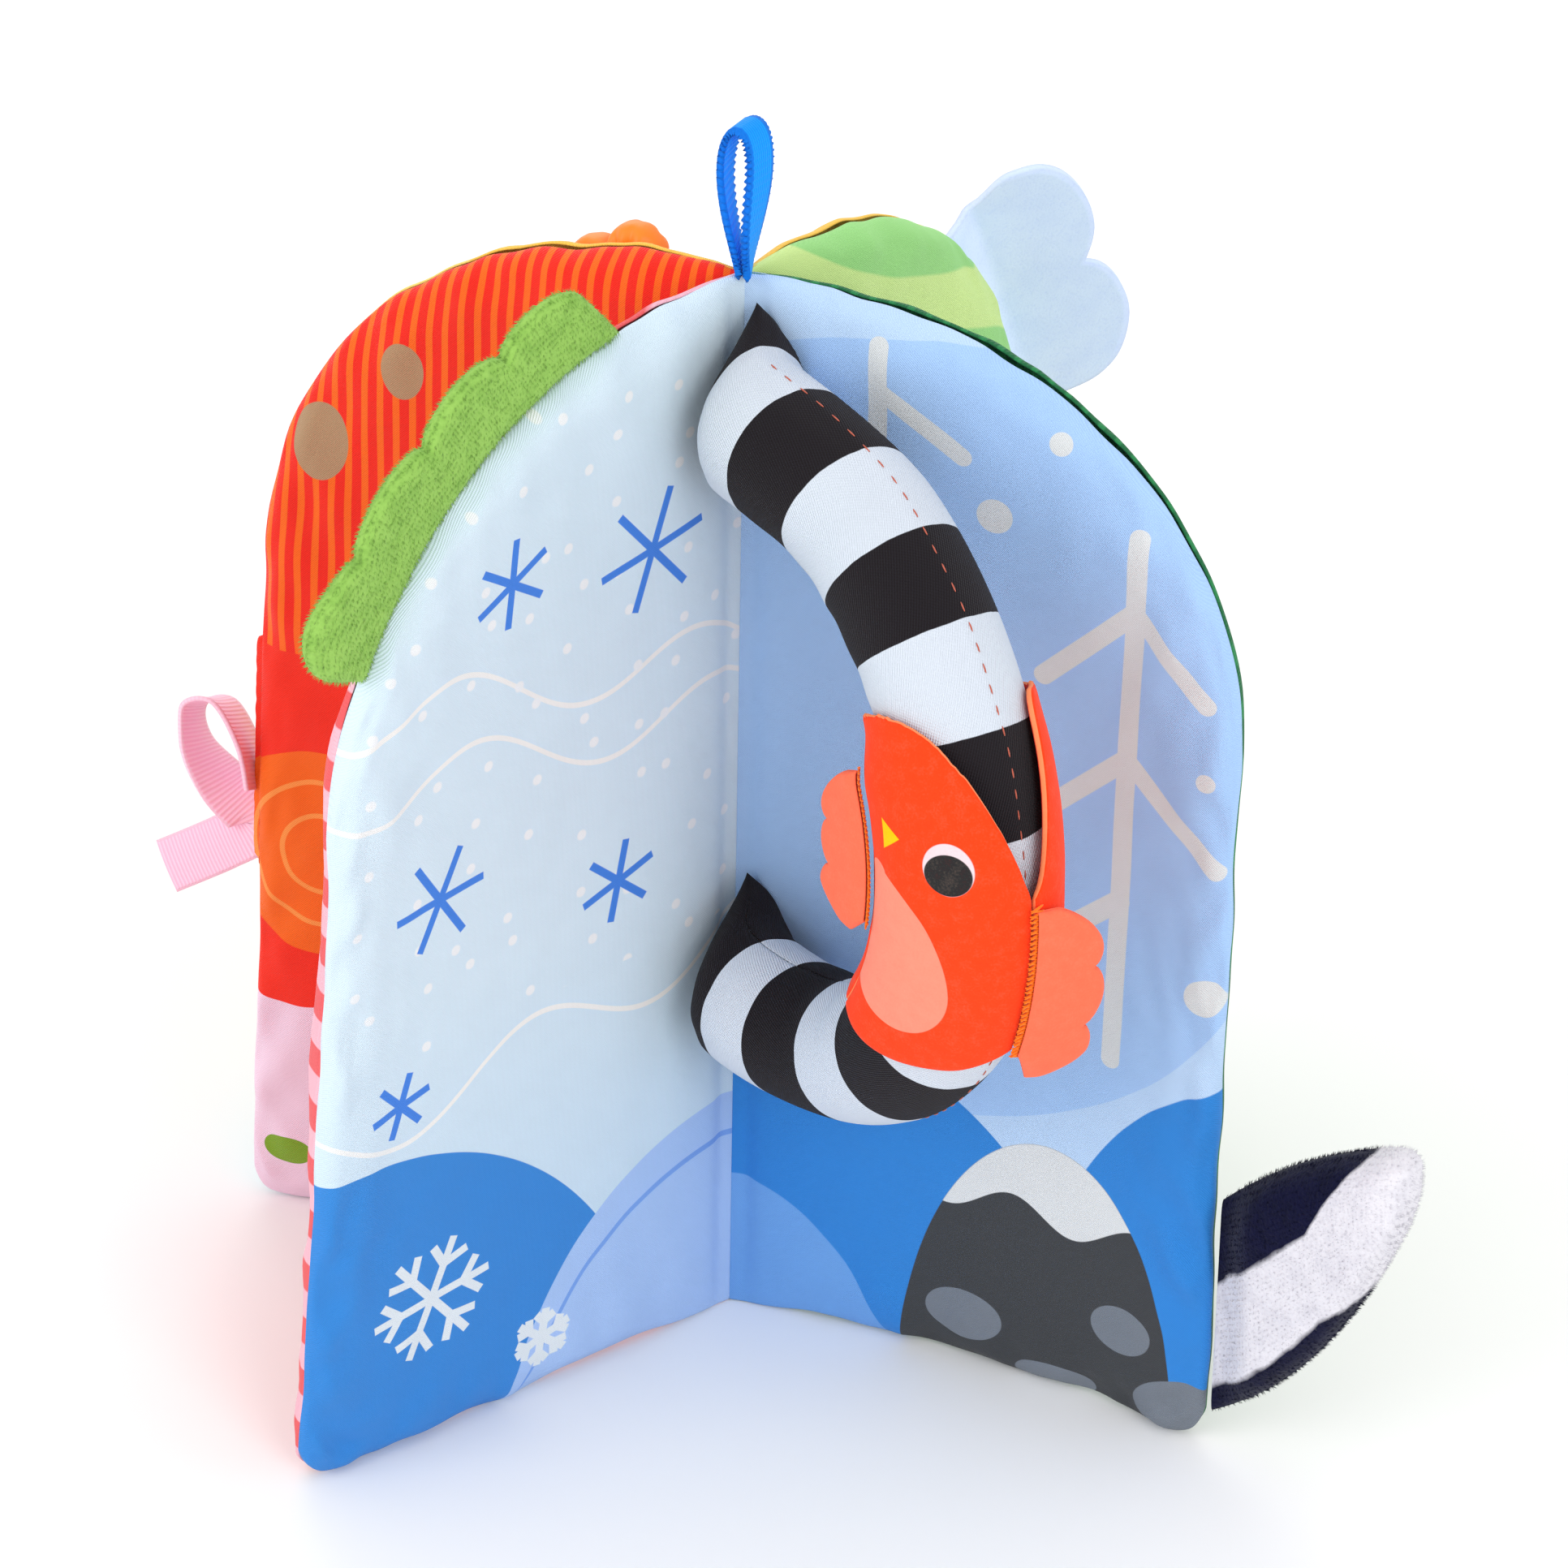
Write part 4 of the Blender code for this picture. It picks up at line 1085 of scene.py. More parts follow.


# The sleeve's inner face is a deeper red than its outer faces: partly the felt's own red, partly
# painted shade inside the sleeve.
red_felt_and_painted_shade = plain_felt("red_felt_and_painted_shade", paint(236, 34, 14))
# The sleeve's cut edges are a pale orange: a painted highlight where light catches the felt's edge.
cut_edge_highlight_felt = plain_felt("cut_edge_highlight_felt", paint(255, 142, 92))
for name, first_seam, last_seam, hem, rim, material, seed in (
    (
        "bird_front",
        BIRD_LEFT_SEAM,
        BIRD_RIGHT_SEAM,
        lambda share: mix(BIRD_TAIL_LEFT, BIRD_TAIL_RIGHT, share**BIRD_HEM_POWER),
        lambda share: mix(BIRD_CREST, BIRD_COLLAR, share**BIRD_RIM_POWER),
        bird_print(),
        1,
    ),
    (
        "bird_back",
        BIRD_RIGHT_SEAM,
        BIRD_LEFT_SEAM + 360,
        lambda share: mix(BIRD_TAIL_RIGHT, BIRD_TAIL_LEFT, smooth(share)),
        lambda share: mix(
            BIRD_COLLAR, mix(BIRD_NAPE, BIRD_CREST, share), smooth(share / BIRD_NAPE_RISE)
        ),
        plain_felt("orange_felt", paint(253, 64, 20)),
        2,
    ),
):
    make_up(
        name,
        felt_sheet(first_seam, last_seam, hem, rim, seed),
        [material, red_felt_and_painted_shade, cut_edge_highlight_felt],
        "bird",
        nodes=[name + "_felt"],
        thick=FELT,
    )

# Wings: two layers of coral felt each, cut to three scallops, stitched into the bird's side
# seams with an orange overlock thread and folded back from them.
WING_WIDTH = 0.0135
WING_HALF = 0.0011
WING_ROOT_HALF = 0.0005
WING_SWEEP = 6.0
WING_LOBES = 3
WING_NOTCH = 0.2
WING_TOP_ROUND = 0.4
WING_FOOT_ROUND = 0.2
WING_TIP = 0.05
WING_SEAM = 0.33
SEWN_GAP = 0.0006
LAYER_GAP = 0.00012


def wing_root(turn, arc):
    return sleeve_radius(turn, arc) + FELT + SEWN_GAP + WING_ROOT_HALF


def wing_point(seam, top, foot, fold, along, outward, off):
    turn, folded = math.radians(seam), math.radians(fold)
    lobe = math.sqrt(abs(math.sin(math.pi * WING_LOBES * along)))
    top_round = ramp(along / WING_TOP_ROUND + WING_TIP)
    foot_round = ramp((1 - along) / WING_FOOT_ROUND + WING_TIP)
    reach = WING_WIDTH * mix(1, lobe, WING_NOTCH) * top_round * foot_round
    arc = mix(top, foot, along) + WING_SWEEP * outward * along
    radial = tube_arc(arc) * math.cos(turn) + tube_face * math.sin(turn)
    across = tube_face * math.cos(turn) - tube_arc(arc) * math.sin(turn)
    away = radial * math.cos(folded) + across * math.sin(folded)
    facing_away = across * math.cos(folded) - radial * math.sin(folded)
    return round_tube(arc, turn, wing_root(turn, arc)) + away * reach * outward + facing_away * off


wing_felt = plain_felt("coral_felt", paint(255, 112, 80))
overlock = sewing_thread("orange_thread", paint(255, 134, 6), paint(226, 96, 0))
for name, seam, top, foot, fold in (
    ("left_wing", BIRD_LEFT_SEAM, -26.0, 8.0, -60.0),
    ("right_wing", BIRD_RIGHT_SEAM, -4.0, 20.0, 80.0),
):
    felt_pair = bmesh.new()
    for facing in (1, -1):

        def place(along, outward, facing=facing):
            thick = mix(WING_ROOT_HALF, WING_HALF, smooth(outward / WING_SEAM))
            rim = ramp((1 - outward) * 12) * ramp(min(along, 1 - along) * 40)
            off = facing * (LAYER_GAP + (thick - LAYER_GAP) * rim)
            seat = wing_point(seam, top, foot, fold, along, min(outward, 1), off)
            return seat, (along * 4, outward)

        layer_mesh = mesh_of("layer", spread_cloth(72, 14, place, flipped=facing > 0))
        felt_pair.from_mesh(layer_mesh)
        bpy.data.meshes.remove(layer_mesh)
    make_up(
        name + "_felt",
        felt_pair,
        [wing_felt],
        name,
        nodes=["bird_" + name],
        thick=WING_ROOT_HALF - LAYER_GAP,
    )
    seats = []
    turn = math.radians(seam)
    for index in range(64):
        share = index / 64
        arc = mix(top - 0.6, foot + 0.6, share)
        lean = 1 if index % 2 else -1
        fray = 0.3 * noise.noise(Vector((index * 1.7, seam, 0)))
        radius = wing_root(turn, arc) - SEWN_GAP / 2
        near = math.radians(4.0 + fray * 3)
        start = round_tube(arc, turn - near * lean, radius)
        end = round_tube(arc + 0.55 + fray, turn + near * lean, radius + 0.0003)
        seats.append((start, end))
    stitches(name + "_overlock", seats, overlock, "bird", 0.00052)


# Hanging loop: blue woven tape, ribbed across, with both ends caught in the spine's top
# seam. Its selvedges stand out like small teeth.
SPINE_TOP_DROP = 0.0012
LOOP_TAPE_WIDTH = 0.0065
LOOP_TAPE = 0.0012
LOOP_RISE = 0.0262
LOOP_HALF_WIDTH = 0.0043
LOOP_TURN = -30.0
LOOP_TWIST = 34.0
LOOP_FOOT_LIFT = 0.0018
LOOP_STEM_POWER = 1.6
LOOP_LEAN = 0.0006
LOOP_LENGTH = 0.062
LOOP_RIB = 0.0011
LOOP_TOOTH = 0.00026
SHARE_STEP = 0.001

loop_across = direction(LOOP_TURN)


def loop_route(share):
    turn = math.tau * share
    open_share = math.sin(turn / 2) ** LOOP_STEM_POWER
    aside = math.sin(turn) * LOOP_HALF_WIDTH * open_share
    stem = math.copysign((LOOP_TAPE + SEAM_GAP) / 2, share - 0.5) * (1 - open_share)
    risen = (1 - math.cos(turn)) / 2
    foot = Vector((-LOOP_LEAN * math.sin(math.pi * risen), 0, 0))
    foot.z = SPINE_HEIGHT - SPINE_TOP_DROP + LOOP_FOOT_LIFT + LOOP_RISE * risen
    return foot + loop_across * (stem - aside)


def loop_place(along, sideways):
    ahead = loop_route(min(along + SHARE_STEP, 1)) - loop_route(max(along - SHARE_STEP, 0))
    twisted = LOOP_TURN + LOOP_TWIST * (0.75 - smooth(along * 1.5) * smooth((1 - along) * 3.2))
    loop_width = direction(twisted + 90)
    normal = loop_width.cross(ahead).normalized()
    rib = math.cos(math.tau * along * LOOP_LENGTH / LOOP_RIB)
    width = LOOP_TAPE_WIDTH / 2 - LOOP_TOOTH * (1 - rib)
    lift = LOOP_TAPE / 2 - 0.00008 * (1 - rib)
    seat = loop_route(along) + loop_width * width * (2 * sideways - 1) + normal * lift
    return seat, (along * LOOP_LENGTH * 100, sideways * LOOP_TAPE_WIDTH * 100)


def woven_tape():
    finish = Finish("blue_tape", 0.7, sheen=0.03)
    _, run, sideways = finish.marks()
    rib = (run * (math.tau / (LOOP_RIB * 100))).to("COSINE") * 0.5 + 0.5
    thread = (sideways * (math.tau / 0.06)).to("SINE") * 0.5 + 0.5
    selvedge = abs(sideways - 0.325).below(0.27, 0.05)
    color = finish.over(rib * 0.3 + thread * 0.7, paint(0, 166, 253), paint(0, 132, 238))
    finish.dye(1 - selvedge, paint(0, 116, 222), color)
    return finish.emboss(rib * 0.6 + thread * 0.4, 0.0001)


make_up(
    "hang_loop_tape",
    spread_cloth(480, 10, loop_place, flipped=True),
    [woven_tape()],
    "hang_loop",
    nodes=["hang_loop"],
    thick=LOOP_TAPE,
    rounds=0,
    bends=("spine", (0, 0, 0.2095), (0, 0, 0.2200)),
)

# Hedge: a scalloped strip of short green plush, sewn into the front left leaf's crown. Its
# pile is combed along the strip and stands out from the cut edge.
HEDGE_START_SHARE = 0.15
HEDGE_END_SHARE = 0.75
HEDGE_WIDTH_TOP = 0.0140
HEDGE_WIDTH_FOOT = 0.0190
HEDGE_NOTCH = 0.0040
HEDGE_LOBES = 4
HEDGE_SLANT = 0.045
HEDGE_HALF = 0.0021
HEDGE_ROUND = 0.125
HEDGE_FOOT = 0.45
HEDGE_RIM = 0.33
ROOT_TUCK = 0.0014
PILE_SIDES = 3

hedge_leaf = Leaf(*LEAVES["front_left"])


def hedge_place(along, wrap):
    """The strip's front from its seam to its cut edge, then its back the other way."""
    outward = 1 - abs(1 - 2 * wrap)
    facing = 1 if wrap < 0.5 else -1
    crown_share = mix(HEDGE_START_SHARE, HEDGE_END_SHARE, along)
    crown_share += HEDGE_SLANT * outward * (1 - along) ** 3
    out, up = crown(crown_share)
    normal = crown_outward(crown_share)
    lobe = math.sqrt(abs(math.sin(math.pi * HEDGE_LOBES * along)))
    width = mix(HEDGE_WIDTH_TOP, HEDGE_WIDTH_FOOT, along) - HEDGE_NOTCH * (1 - lobe)
    foot_round = ramp((1 - along) / HEDGE_ROUND)
    reach = mix(-ROOT_TUCK, SEAM_GAP + width * mix(HEDGE_FOOT, 1, foot_round), outward)
    rim = ramp((1 - outward) / HEDGE_RIM) * ramp(outward / HEDGE_RIM)
    ends = ramp(along / HEDGE_ROUND) * foot_round
    closed = ramp(min(along, 1 - along) * 30) * ramp(min(outward, 1 - outward) * 12)
    thick = mix(SEAM_HALF, HEDGE_HALF, rim * ends) * closed
    thick += 0.00022 * closed * noise.noise(Vector((along * 60, outward * 11, facing)))
    seat = hedge_leaf.at(out + normal[0] * reach, up + normal[1] * reach, facing * thick)
    return seat, (along * 9.5, wrap * 3.4)


def pile(backing, count, length, width, comb, seed):
    """Short fibres that stand on a plush backing, each a thin spike with its root's mark."""
    chance = random.Random(seed)
    marks = backing.loops.layers.uv["print"]
    cells = backing.faces[:]
    sizes = [cell.calc_area() for cell in cells]
    spike = bmesh.new()
    bmesh.ops.create_cone(spike, segments=PILE_SIDES, radius1=1, radius2=0, depth=1)
    bmesh.ops.remove_doubles(spike, verts=spike.verts[:], dist=0.001)
    points = len(spike.verts)
    mesh = bpy.data.meshes.new("spikes")
    spike.to_mesh(mesh)
    fibres = bmesh.new()
    for _ in range(count):
        fibres.from_mesh(mesh)
    spike.free()
    bpy.data.meshes.remove(mesh)
    fibre_marks = fibres.loops.layers.uv.new("print")
    fibres.verts.ensure_lookup_table()
    for index, cell in enumerate(chance.choices(cells, sizes, k=count)):
        shares = [chance.random() for _ in cell.loops]
        whole = sum(shares)
        root, spot = Vector(), Vector((0, 0))
        for share, corner in zip(shares, cell.loops):
            root += corner.vert.co * (share / whole)
            spot += corner[marks].uv * (share / whole)
        scatter = Vector([chance.uniform(-0.5, 0.5) for _ in range(3)])
        lean = (cell.normal + comb + scatter).normalized()
        long = length * chance.uniform(0.6, 1.1)
        stand = lean.to_track_quat("Z", "Y").to_matrix()
        for point in fibres.verts[index * points : (index + 1) * points]:
            shape = Vector((point.co.x * width, point.co.y * width, (point.co.z + 0.35) * long))
            point.co = root + stand @ shape
            for corner in point.link_loops:
                corner[fibre_marks].uv = spot
    return fibres


def plush(name, draw):
    """Short polyester pile: painted shade in patches where the fibres lie over, and soft against
    the light.
    """
    finish = Finish(name, 0.95, sheen=0.12, shine=0.05)
    lie, fine = finish.cloud(260.0, 3.0), finish.cloud(1500.0)
    color, shade = draw(finish)
    # Painted shade: up to half of the darker shade colour is mixed in where the pile lies low.
    finish.dye((lie * 0.6 + fine * 0.4).below(0.46, 0.2) * 0.5, shade, color)
    return finish.emboss(lie * 0.5 + fine * 0.5, 0.0003)


def green_pile(finish):
    # The pile's colour, then the darker copy that is its painted shade.
    return paint(150, 196, 94), paint(118, 166, 70)


hedge_plush = plush("green_plush", green_pile)
hedge_backing = spread_cloth(112, 28, hedge_place, merged=True)
hedge_along = hedge_leaf.out * 0.5 - Vector((0, 0, 0.6))
hedge_fibres = pile(hedge_backing, 11000, 0.0010, 0.00007, hedge_along, 11)
make_up(
    "green_hedge_plush",
    hedge_backing,
    [hedge_plush],
    "front_left_leaf",
    nodes=["green_hedge"],
)
make_up(
    "green_hedge_pile", hedge_fibres, [hedge_plush], "front_left_leaf", rounds=0
)

# Tail: two faces of short plush, sewn round their edge and stuffed, navy with one broad
# white stripe that runs out over the tip. Its root is caught in the front right leaf's side.
TAIL_TURN = -35.0
TAIL_FOOT = 0.006
TAIL_HEEL = 0.051
TAIL_REACH = 0.038
TAIL_TIP_LOW = 0.066
TAIL_TIP_HIGH = 0.075
TAIL_HALF = 0.0065
TAIL_ROOT_HALF = 0.0005
TAIL_LOW_BEND = (0.68, 0.29)
TAIL_HIGH_BEND = (0.45, 0.78)
TAIL_ROUND = 0.25
TAIL_TIP_ROUND = 0.13

tail_leaf = Leaf(*LEAVES["front_right"])
tail_away = direction(TAIL_TURN)
tail_facing = leftward(tail_away)


def bend_between(first, bend, last, share):
    return mix(mix(first, bend, share), mix(bend, last, share), share)


def tail_place(along, wrap):
    """The tail's front from its lower to its upper edge, then its back the other way."""
    across = 1 - abs(1 - 2 * wrap)
    facing = -1 if wrap < 0.5 else 1
    low_bend_up = mix(TAIL_FOOT, TAIL_TIP_LOW, TAIL_LOW_BEND[1])
    low_bend = Vector((TAIL_REACH * TAIL_LOW_BEND[0], low_bend_up))
    high_bend = Vector(
        (TAIL_REACH * TAIL_HIGH_BEND[0], mix(TAIL_HEEL, TAIL_TIP_HIGH, TAIL_HIGH_BEND[1]))
    )
    low = bend_between(Vector((0, TAIL_FOOT)), low_bend, Vector((TAIL_REACH, TAIL_TIP_LOW)), along)
    high_tip = Vector((TAIL_REACH, TAIL_TIP_HIGH))
    high = bend_between(Vector((0, TAIL_HEEL)), high_bend, high_tip, along)
    narrowed = 0.5 + (across - 0.5) * ramp((1 - along) / TAIL_TIP_ROUND)
    out, up = mix(low, high, narrowed)
    sides = ramp(across / TAIL_ROUND) * ramp((1 - across) / TAIL_ROUND)
    ends = ramp((1 - along) / TAIL_ROUND) * smooth(along / TAIL_ROUND)
    closed = ramp(min(across, 1 - across) * 14) * ramp((1 - along) * 20)
    half = mix(TAIL_ROOT_HALF, TAIL_HALF, sides * ends) * closed
    soft = 0.0004 * sides * ends * noise.noise(Vector((out * 90, up * 90, facing * 2)))
    seat = tail_leaf.at(side(up), up) + tail_away * (SEWN_GAP + out)
    seat += tail_facing * facing * (half + soft)
    return seat, (along, across)


def striped_pile(finish):
    mark, along, across = finish.marks()
    uneven = (finish.cloud(9.0, mark=mark) - 0.5) * 0.05
    upper = along * 0.12 + ((along - 0.52) | 0) * 1.1 + uneven + 0.61
    lower = along * 0.06 - ((along - 0.55) | 0) * 0.9 + uneven + 0.13
    white = (across - upper).below(0, 0.03) & (lower - across).below(0, 0.03)
    # The pile's colours, then the darker copies that are their painted shade.
    navy, painted_shade_navy = paint(12, 14, 48), paint(5, 7, 26)
    white_pile, shaded_pile = paint(224, 222, 229), paint(200, 198, 208)
    return finish.over(white, white_pile, navy), finish.over(white, shaded_pile, painted_shade_navy)


tail_plush = plush("navy_plush", striped_pile)
tail_backing = spread_cloth(48, 72, tail_place, merged=True)
tail_fibres = pile(tail_backing, 11000, 0.0009, 0.00007, tail_away * 0.6 + Vector((0, 0, 0.5)), 12)
make_up(
    "tail_plush",
    tail_backing,
    [tail_plush],
    "tail",
    nodes=["tail_front_plush", "tail_back_plush"],
)
make_up("tail_pile", tail_fibres, [tail_plush], "tail", rounds=0)

# Tab: one piece of pale blue felt with two round lobes, cut bare, sewn into the back right
# leaf's crown and creased forward just beyond it.
TAB_START_SHARE = 0.53
TAB_END_SHARE = 0.90
TAB_HALF = 0.0007
TAB_CREASE = 0.006
TAB_BEND = 40.0
TAB_UPPER_LOBE = (
    (0.0012, 0.0030),
    (0.0014, 0.0062),
    (0.0002, 0.0089),
    (-0.0017, 0.0120),
    (-0.0023, 0.0149),
    (-0.0008, 0.0201),
    (0.0037, 0.0239),
    (0.0113, 0.0263),
    (0.0186, 0.0265),
    (0.0237, 0.0252),
    (0.0285, 0.0227),
)
TAB_LOWER_LOBE = (
    (0.0285, 0.0227),
    (0.0315, 0.0256),
    (0.0363, 0.0276),
    (0.0423, 0.0282),
    (0.0476, 0.0275),
    (0.0531, 0.0254),
    (0.0572, 0.0224),
    (0.0596, 0.0178),
    (0.0597, 0.0120),
)
TAB_CREASE_RUN = 0.0045
TAB_FAN = 0.6

tab_leaf = Leaf(*LEAVES["back_right"])
tab_root = Vector(crown(TAB_START_SHARE))
tab_along = (Vector(crown(TAB_END_SHARE)) - tab_root).normalized()
tab_beyond = Vector((-tab_along.y, tab_along.x))
tab_straight = tab_leaf.out * tab_beyond.x + Vector((0, 0, tab_beyond.y))


def smooth_route(points, share):
    """A point on the smooth curve through the points."""
    last = len(points) - 1
    index = min(int(share * last), last - 1)
    local = share * last - index
    before = points[max(index - 1, 0)]
    start, end = points[index], points[index + 1]
    after = points[min(index + 2, last)]
    leave = (end - before) / 2
    arrive = (after - start) / 2
    cubic = 2 * start - 2 * end + leave + arrive
    square = 3 * end - 3 * start - 2 * leave - arrive
    return start + (leave + (square + cubic * local) * local) * local


def tab_rim(share):
    """The cut outline, over the upper lobe to the notch and on over the lower lobe."""
    lobe = TAB_UPPER_LOBE if share < 0.5 else TAB_LOWER_LOBE
    return smooth_route([Vector(point) for point in lobe], share * 2 % 1 if share < 1 else 1)


def tab_place(along, outward):
    seam = Vector(crown(mix(TAB_START_SHARE, TAB_END_SHARE, along**TAB_FAN))) - tab_root
    root = Vector((seam.dot(tab_along), seam.dot(tab_beyond) - ROOT_TUCK))
    run, rise = mix(root, tab_rim(along), outward)
    bent = math.radians(TAB_BEND) * smooth((rise - TAB_CREASE) / TAB_CREASE_RUN + 0.5)
    away = tab_straight * math.cos(bent) - tab_leaf.face * math.sin(bent)
    normal = tab_leaf.face * math.cos(bent) + tab_straight * math.sin(bent)
    seam_spot = tab_root + tab_along * run + tab_beyond * min(rise, TAB_CREASE)
    soft = 0.0003 * noise.noise(Vector((run * 60, rise * 60, 4)))
    seat = tab_leaf.at(*seam_spot) + away * max(rise - TAB_CREASE, 0) + normal * (TAB_HALF + soft)
    return seat, (run * 100, rise * 100)


def brushed_cloth():
    """Thin brushed fabric: pale blue with a faint cloud of loose fibres."""
    finish = Finish("pale_blue_fleece", 0.95, sheen=0.1)
    cloud, fine = finish.cloud(180.0, 4.0), finish.cloud(1900.0)
    color = finish.over(cloud.below(0.5, 0.25) * 0.35, paint(198, 216, 252), paint(212, 228, 255))
    finish.dye(fine.below(0.4, 0.1) * 0.25, paint(186, 206, 250), color)
    return finish.emboss(cloud * 0.3 + fine * 0.7, 0.00012)


make_up(
    "blue_two_lobed_felt",
    spread_cloth(120, 20, tab_place),
    [brushed_cloth()],
    "back_right_leaf",
    nodes=["blue_two_lobed_tab"],
    thick=2 * TAB_HALF,
    rounds=0,
)

# Ribbon: pink grosgrain, looped and caught with its root in the back left leaf's side, with
# its free end cut square.
RIBBON_WIDTH = 0.010
RIBBON_HALF = 0.0004
RIBBON_HEIGHT = 0.080
RIBBON_SPAN = 0.020
RIBBON_TILT = 27.0
RIBBON_TWIST = 80.0
RIBBON_TWIST_START = 0.33
RIBBON_TWIST_RUN = 0.30
RIBBON_RIB = 0.085
RIBBON_ROUTE = (
    (0.00, 0.22),
    (0.08, 0.66),
    (0.32, 1.06),
    (0.62, 0.96),
    (0.60, 0.56),
    (0.34, 0.20),
    (0.07, -0.04),
    (0.07, -0.20),
    (0.34, -0.42),
    (0.62, -0.62),
    (0.94, -0.84),
)

ribbon_leaf = Leaf(*LEAVES["back_left"])
ribbon_out = side(RIBBON_HEIGHT)
ribbon_seat = ribbon_leaf.at(ribbon_out, RIBBON_HEIGHT)
ribbon_away = ribbon_leaf.away(ribbon_out, RIBBON_HEIGHT)
ribbon_tilt = Vector((0, 0, math.tan(math.radians(RIBBON_TILT))))
ribbon_facing = (leftward(ribbon_away) + ribbon_tilt).normalized()


def ribbon_route(share):
    out, up = smooth_route([Vector(point) * RIBBON_SPAN for point in RIBBON_ROUTE], share)
    return ribbon_seat + ribbon_away * (SEWN_GAP + out) + Vector((0, 0, up))


ribbon_runs = [0.0]
for index in range(200):
    step = ribbon_route((index + 1) / 200) - ribbon_route(index / 200)
    ribbon_runs.append(ribbon_runs[-1] + step.length)


def ribbon_place(along, across):
    before, after = max(along - SHARE_STEP, 0), min(along + SHARE_STEP, 1)
    ahead = (ribbon_route(after) - ribbon_route(before)).normalized()
    flat = ahead.cross(ribbon_facing).normalized()
    turn = math.radians(RIBBON_TWIST) * smooth((along - RIBBON_TWIST_START) / RIBBON_TWIST_RUN)
    width = ribbon_facing * math.cos(turn) + flat * math.sin(turn)
    normal = ahead.cross(width).normalized()
    cup = 0.0003 * (1 - (2 * across - 1) ** 2)
    seat = ribbon_route(along) + width * RIBBON_WIDTH * (across - 0.5)
    seat += normal * (RIBBON_HALF - cup)
    return seat, (ribbon_runs[round(along * 200)] * 100, across * RIBBON_WIDTH * 100)


def grosgrain():
    """Corded silk-like ribbon: fine ribs from edge to edge, and a tight selvedge."""
    finish = Finish("pink_grosgrain", 0.6, sheen=0.08)
    mark, run, across = finish.marks()
    rib = (run * (math.tau / RIBBON_RIB)).to("SINE") * 0.5 + 0.5
    edge = abs(across - 0.5).below(0.46, 0.02)
    weave = finish.cloud(60.0, mark=mark)
    color = finish.over(rib * 0.75 + weave * 0.25, paint(255, 210, 229), paint(248, 184, 211))
    finish.dye((1 - edge) * 0.5, paint(253, 206, 222), color)
    return finish.emboss(rib * edge, 0.0001)


ribbon = make_up(
    "pink_ribbon_grosgrain",
    spread_cloth(200, 12, ribbon_place),
    [grosgrain()],
    "ribbon",
    nodes=["pink_ribbon"],
    thick=2 * RIBBON_HALF,
    rounds=0,
)

# Teether: an orange flower of soft moulded rubber, its petals grooved for small gums. A
# cord goes through its hole and is knotted in front, which holds it to the summer page.
FLOWER_PETALS = 6
FLOWER_RADIUS = 0.0145
FLOWER_VALLEY = 0.0105
FLOWER_HALF = 0.0035
FLOWER_HOLE = 0.0026
FLOWER_OUT = 0.025
FLOWER_DROP = 0.001
FLOWER_LOBE_POWER = 0.7
FLOWER_RIM = 0.33
FLOWER_WALL = 0.08
KNOT_SHANK = 0.0021
KNOT_HEAD = 0.0043
KNOT_THICK = 0.0026

flower_leaf = Leaf(*LEAVES["back_left"])
flower_up = SPINE_HEIGHT - FLOWER_DROP - FLOWER_RADIUS
flower_seat = flower_leaf.at(FLOWER_OUT, flower_up)
flower_away = flower_leaf.away(FLOWER_OUT, flower_up)
flower_facing = flower_away.cross(Vector((0, 0, 1)))
flower_centre = flower_seat + flower_facing * (PUFF_HALF + SEAM_GAP + FLOWER_HALF)


def petal_radius(turn):
    lobe = abs(math.cos(FLOWER_PETALS * turn / 2))
    return mix(FLOWER_VALLEY, FLOWER_RADIUS, lobe**FLOWER_LOBE_POWER)


def flower_place(around, wrap):
    """The wall of the hole, then the face out to the rim, then the back."""
    turn = math.tau * around
    if wrap < FLOWER_WALL:
        share, height = 0, 2 * wrap / FLOWER_WALL - 1
    else:
        outward = (wrap - FLOWER_WALL) / (1 - FLOWER_WALL)
        share = 1 - abs(1 - 2 * outward)
        height = 1 if outward < 0.5 else -1
    radius = mix(FLOWER_HOLE, petal_radius(turn - math.pi / 2), share)
    ridge = math.cos(FLOWER_PETALS * turn * 2) ** 4 * smooth(share * 2)
    rim = ramp((1 - share) / FLOWER_RIM) * mix(0.8, 1, ramp(share * 8))
    half = FLOWER_HALF * rim * (1 - 0.24 * ridge)
    away = flower_away * math.cos(turn) + Vector((0, 0, math.sin(turn)))
    return flower_centre + away * radius + flower_facing * height * half, (around, share)


def soft_rubber():
    finish = Finish("orange_rubber", 0.42, shine=0.45)
    cloud, grain = finish.cloud(120.0, 3.0), finish.cloud(1400.0, 1.0)
    finish.dye(cloud * 0.35, paint(250, 118, 8), paint(255, 136, 24))
    finish.feed("Roughness", cloud * 0.2 + 0.34)
    return finish.emboss(grain, 0.00004)


def knot_place(around, upward):
    """A round knot whose strand winds over it three times, on a short shank."""
    turn = math.tau * around
    if upward < 0.3:
        radius, height = KNOT_SHANK, mix(-2 * FLOWER_HALF, 0, upward / 0.3)
    else:
        swell_share = (upward - 0.3) / 0.7
        radius = KNOT_HEAD * max(math.sin(math.pi * mix(0.16, 1, swell_share)), 0)
        height = KNOT_THICK * smooth(swell_share)
    closed = min(upward * 40, 1)
    strand = 1 + 0.09 * abs(math.sin(1.5 * turn + 9 * upward)) if upward < 1 else 1
    away = flower_away * math.cos(turn) + Vector((0, 0, math.sin(turn)))
    top = flower_centre + flower_facing * (FLOWER_HALF + SEAM_GAP + height)
    return top + away * radius * strand * closed, (around * 3, upward * 2)


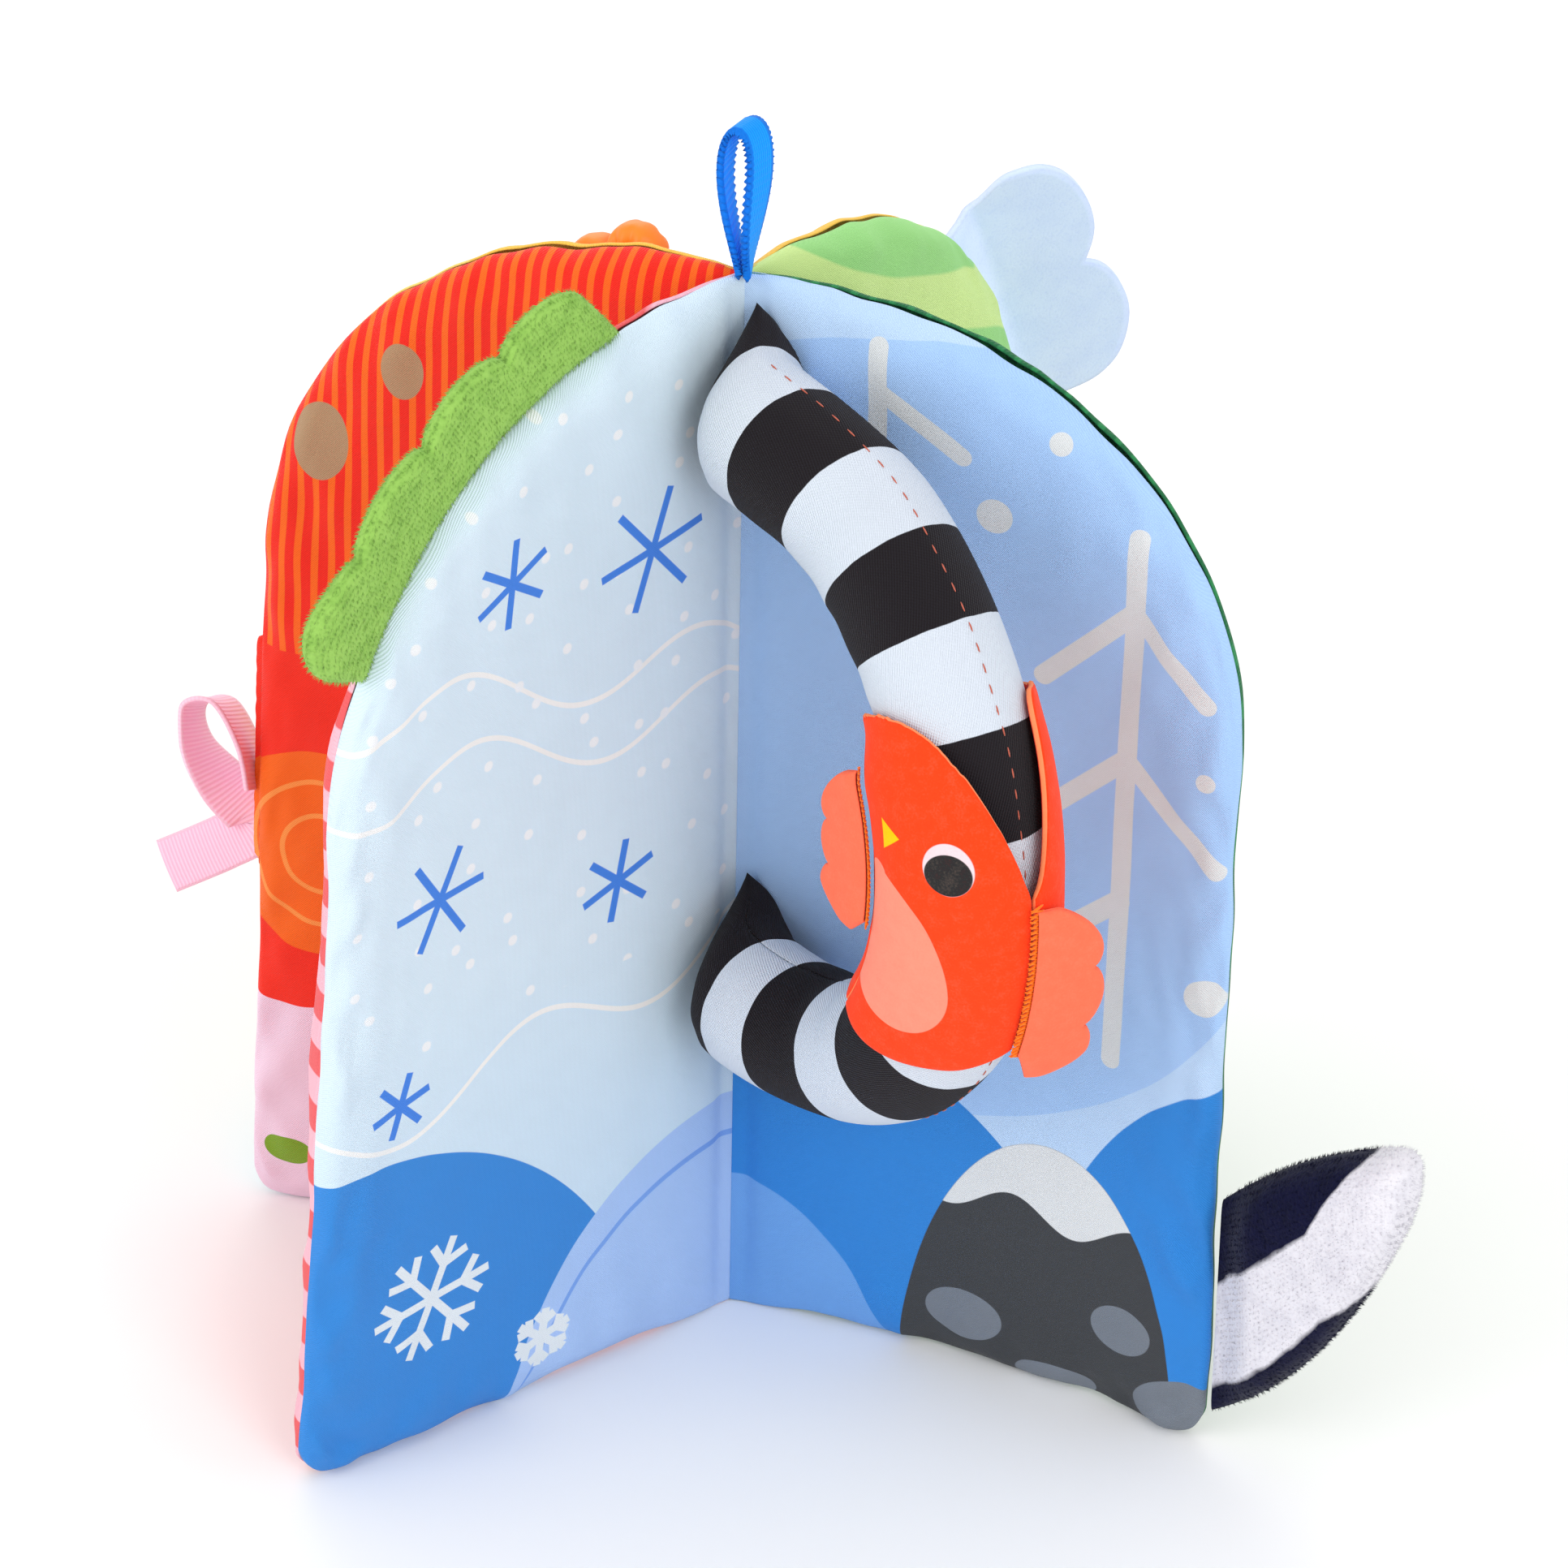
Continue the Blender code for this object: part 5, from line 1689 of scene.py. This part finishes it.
def twisted_cord():
    finish = Finish("orange_cord", 0.75, sheen=0.2)
    _, around, along = finish.marks()
    twist = ((around + along) * (math.tau / 0.18)).to("SINE") * 0.5 + 0.5
    finish.dye(twist, paint(250, 160, 40), paint(214, 110, 20))
    return finish.emboss(twist, 0.0003)


make_up(
    "flower_teether_rubber",
    spread_cloth(144, 40, flower_place, merged=True),
    [soft_rubber()],
    "back_left_leaf",
    nodes=["flower_teether"],
)
make_up(
    "teether_cord_knot",
    spread_cloth(48, 40, knot_place, merged=True),
    [twisted_cord()],
    "back_left_leaf",
    nodes=["teether_knot"],
    rounds=0,
)

# Closing seam of the back left leaf: the gap through which it was stuffed. Its two cloths
# are folded in to a flat lip beyond the free edge and sewn shut in red thread.
CLOSING_FOOT = 0.070
CLOSING_TOP = 0.116
CLOSING_LIP = 0.0014
CLOSING_INSET = 0.0005
closing_leaf = Leaf(*LEAVES["back_left"])


def lip_place(upward, wrap):
    """The lip's front from the page out to its fold, then its back."""
    outward = 1 - abs(1 - 2 * wrap)
    facing = 1 if wrap < 0.5 else -1
    up = mix(CLOSING_FOOT, CLOSING_TOP, upward)
    ends = ramp(min(upward, 1 - upward) * 25)
    out = side(up) - 0.0016 + (0.0016 + CLOSING_LIP * ends) * outward
    out += 0.0002 * noise.noise(Vector((up * 500, 0, 0))) * outward
    thick = mix(0.0016, 0.0007, outward) * ramp((1 - outward) * 6) * ends
    return closing_leaf.at(out, up, facing * thick), (out * 100, up * 100)


make_up(
    "closing_lip",
    spread_cloth(80, 16, lip_place, merged=True),
    [bpy.data.materials["autumn_left_page_satin"]],
    "back_left_leaf",
    rounds=0,
)
closing_seats = []
height = CLOSING_FOOT
while height < CLOSING_TOP - 0.002:
    out = side(height) - CLOSING_INSET
    seats = [closing_leaf.at(out, up, 0.0014) for up in (height, height + 0.0016)]
    closing_seats.append(seats)
    height += 0.0025
red_thread = sewing_thread("red_thread", paint(222, 58, 24), paint(180, 34, 12))
stitches("closing_seam_thread", closing_seats, red_thread, "back_left_leaf", 0.0003)
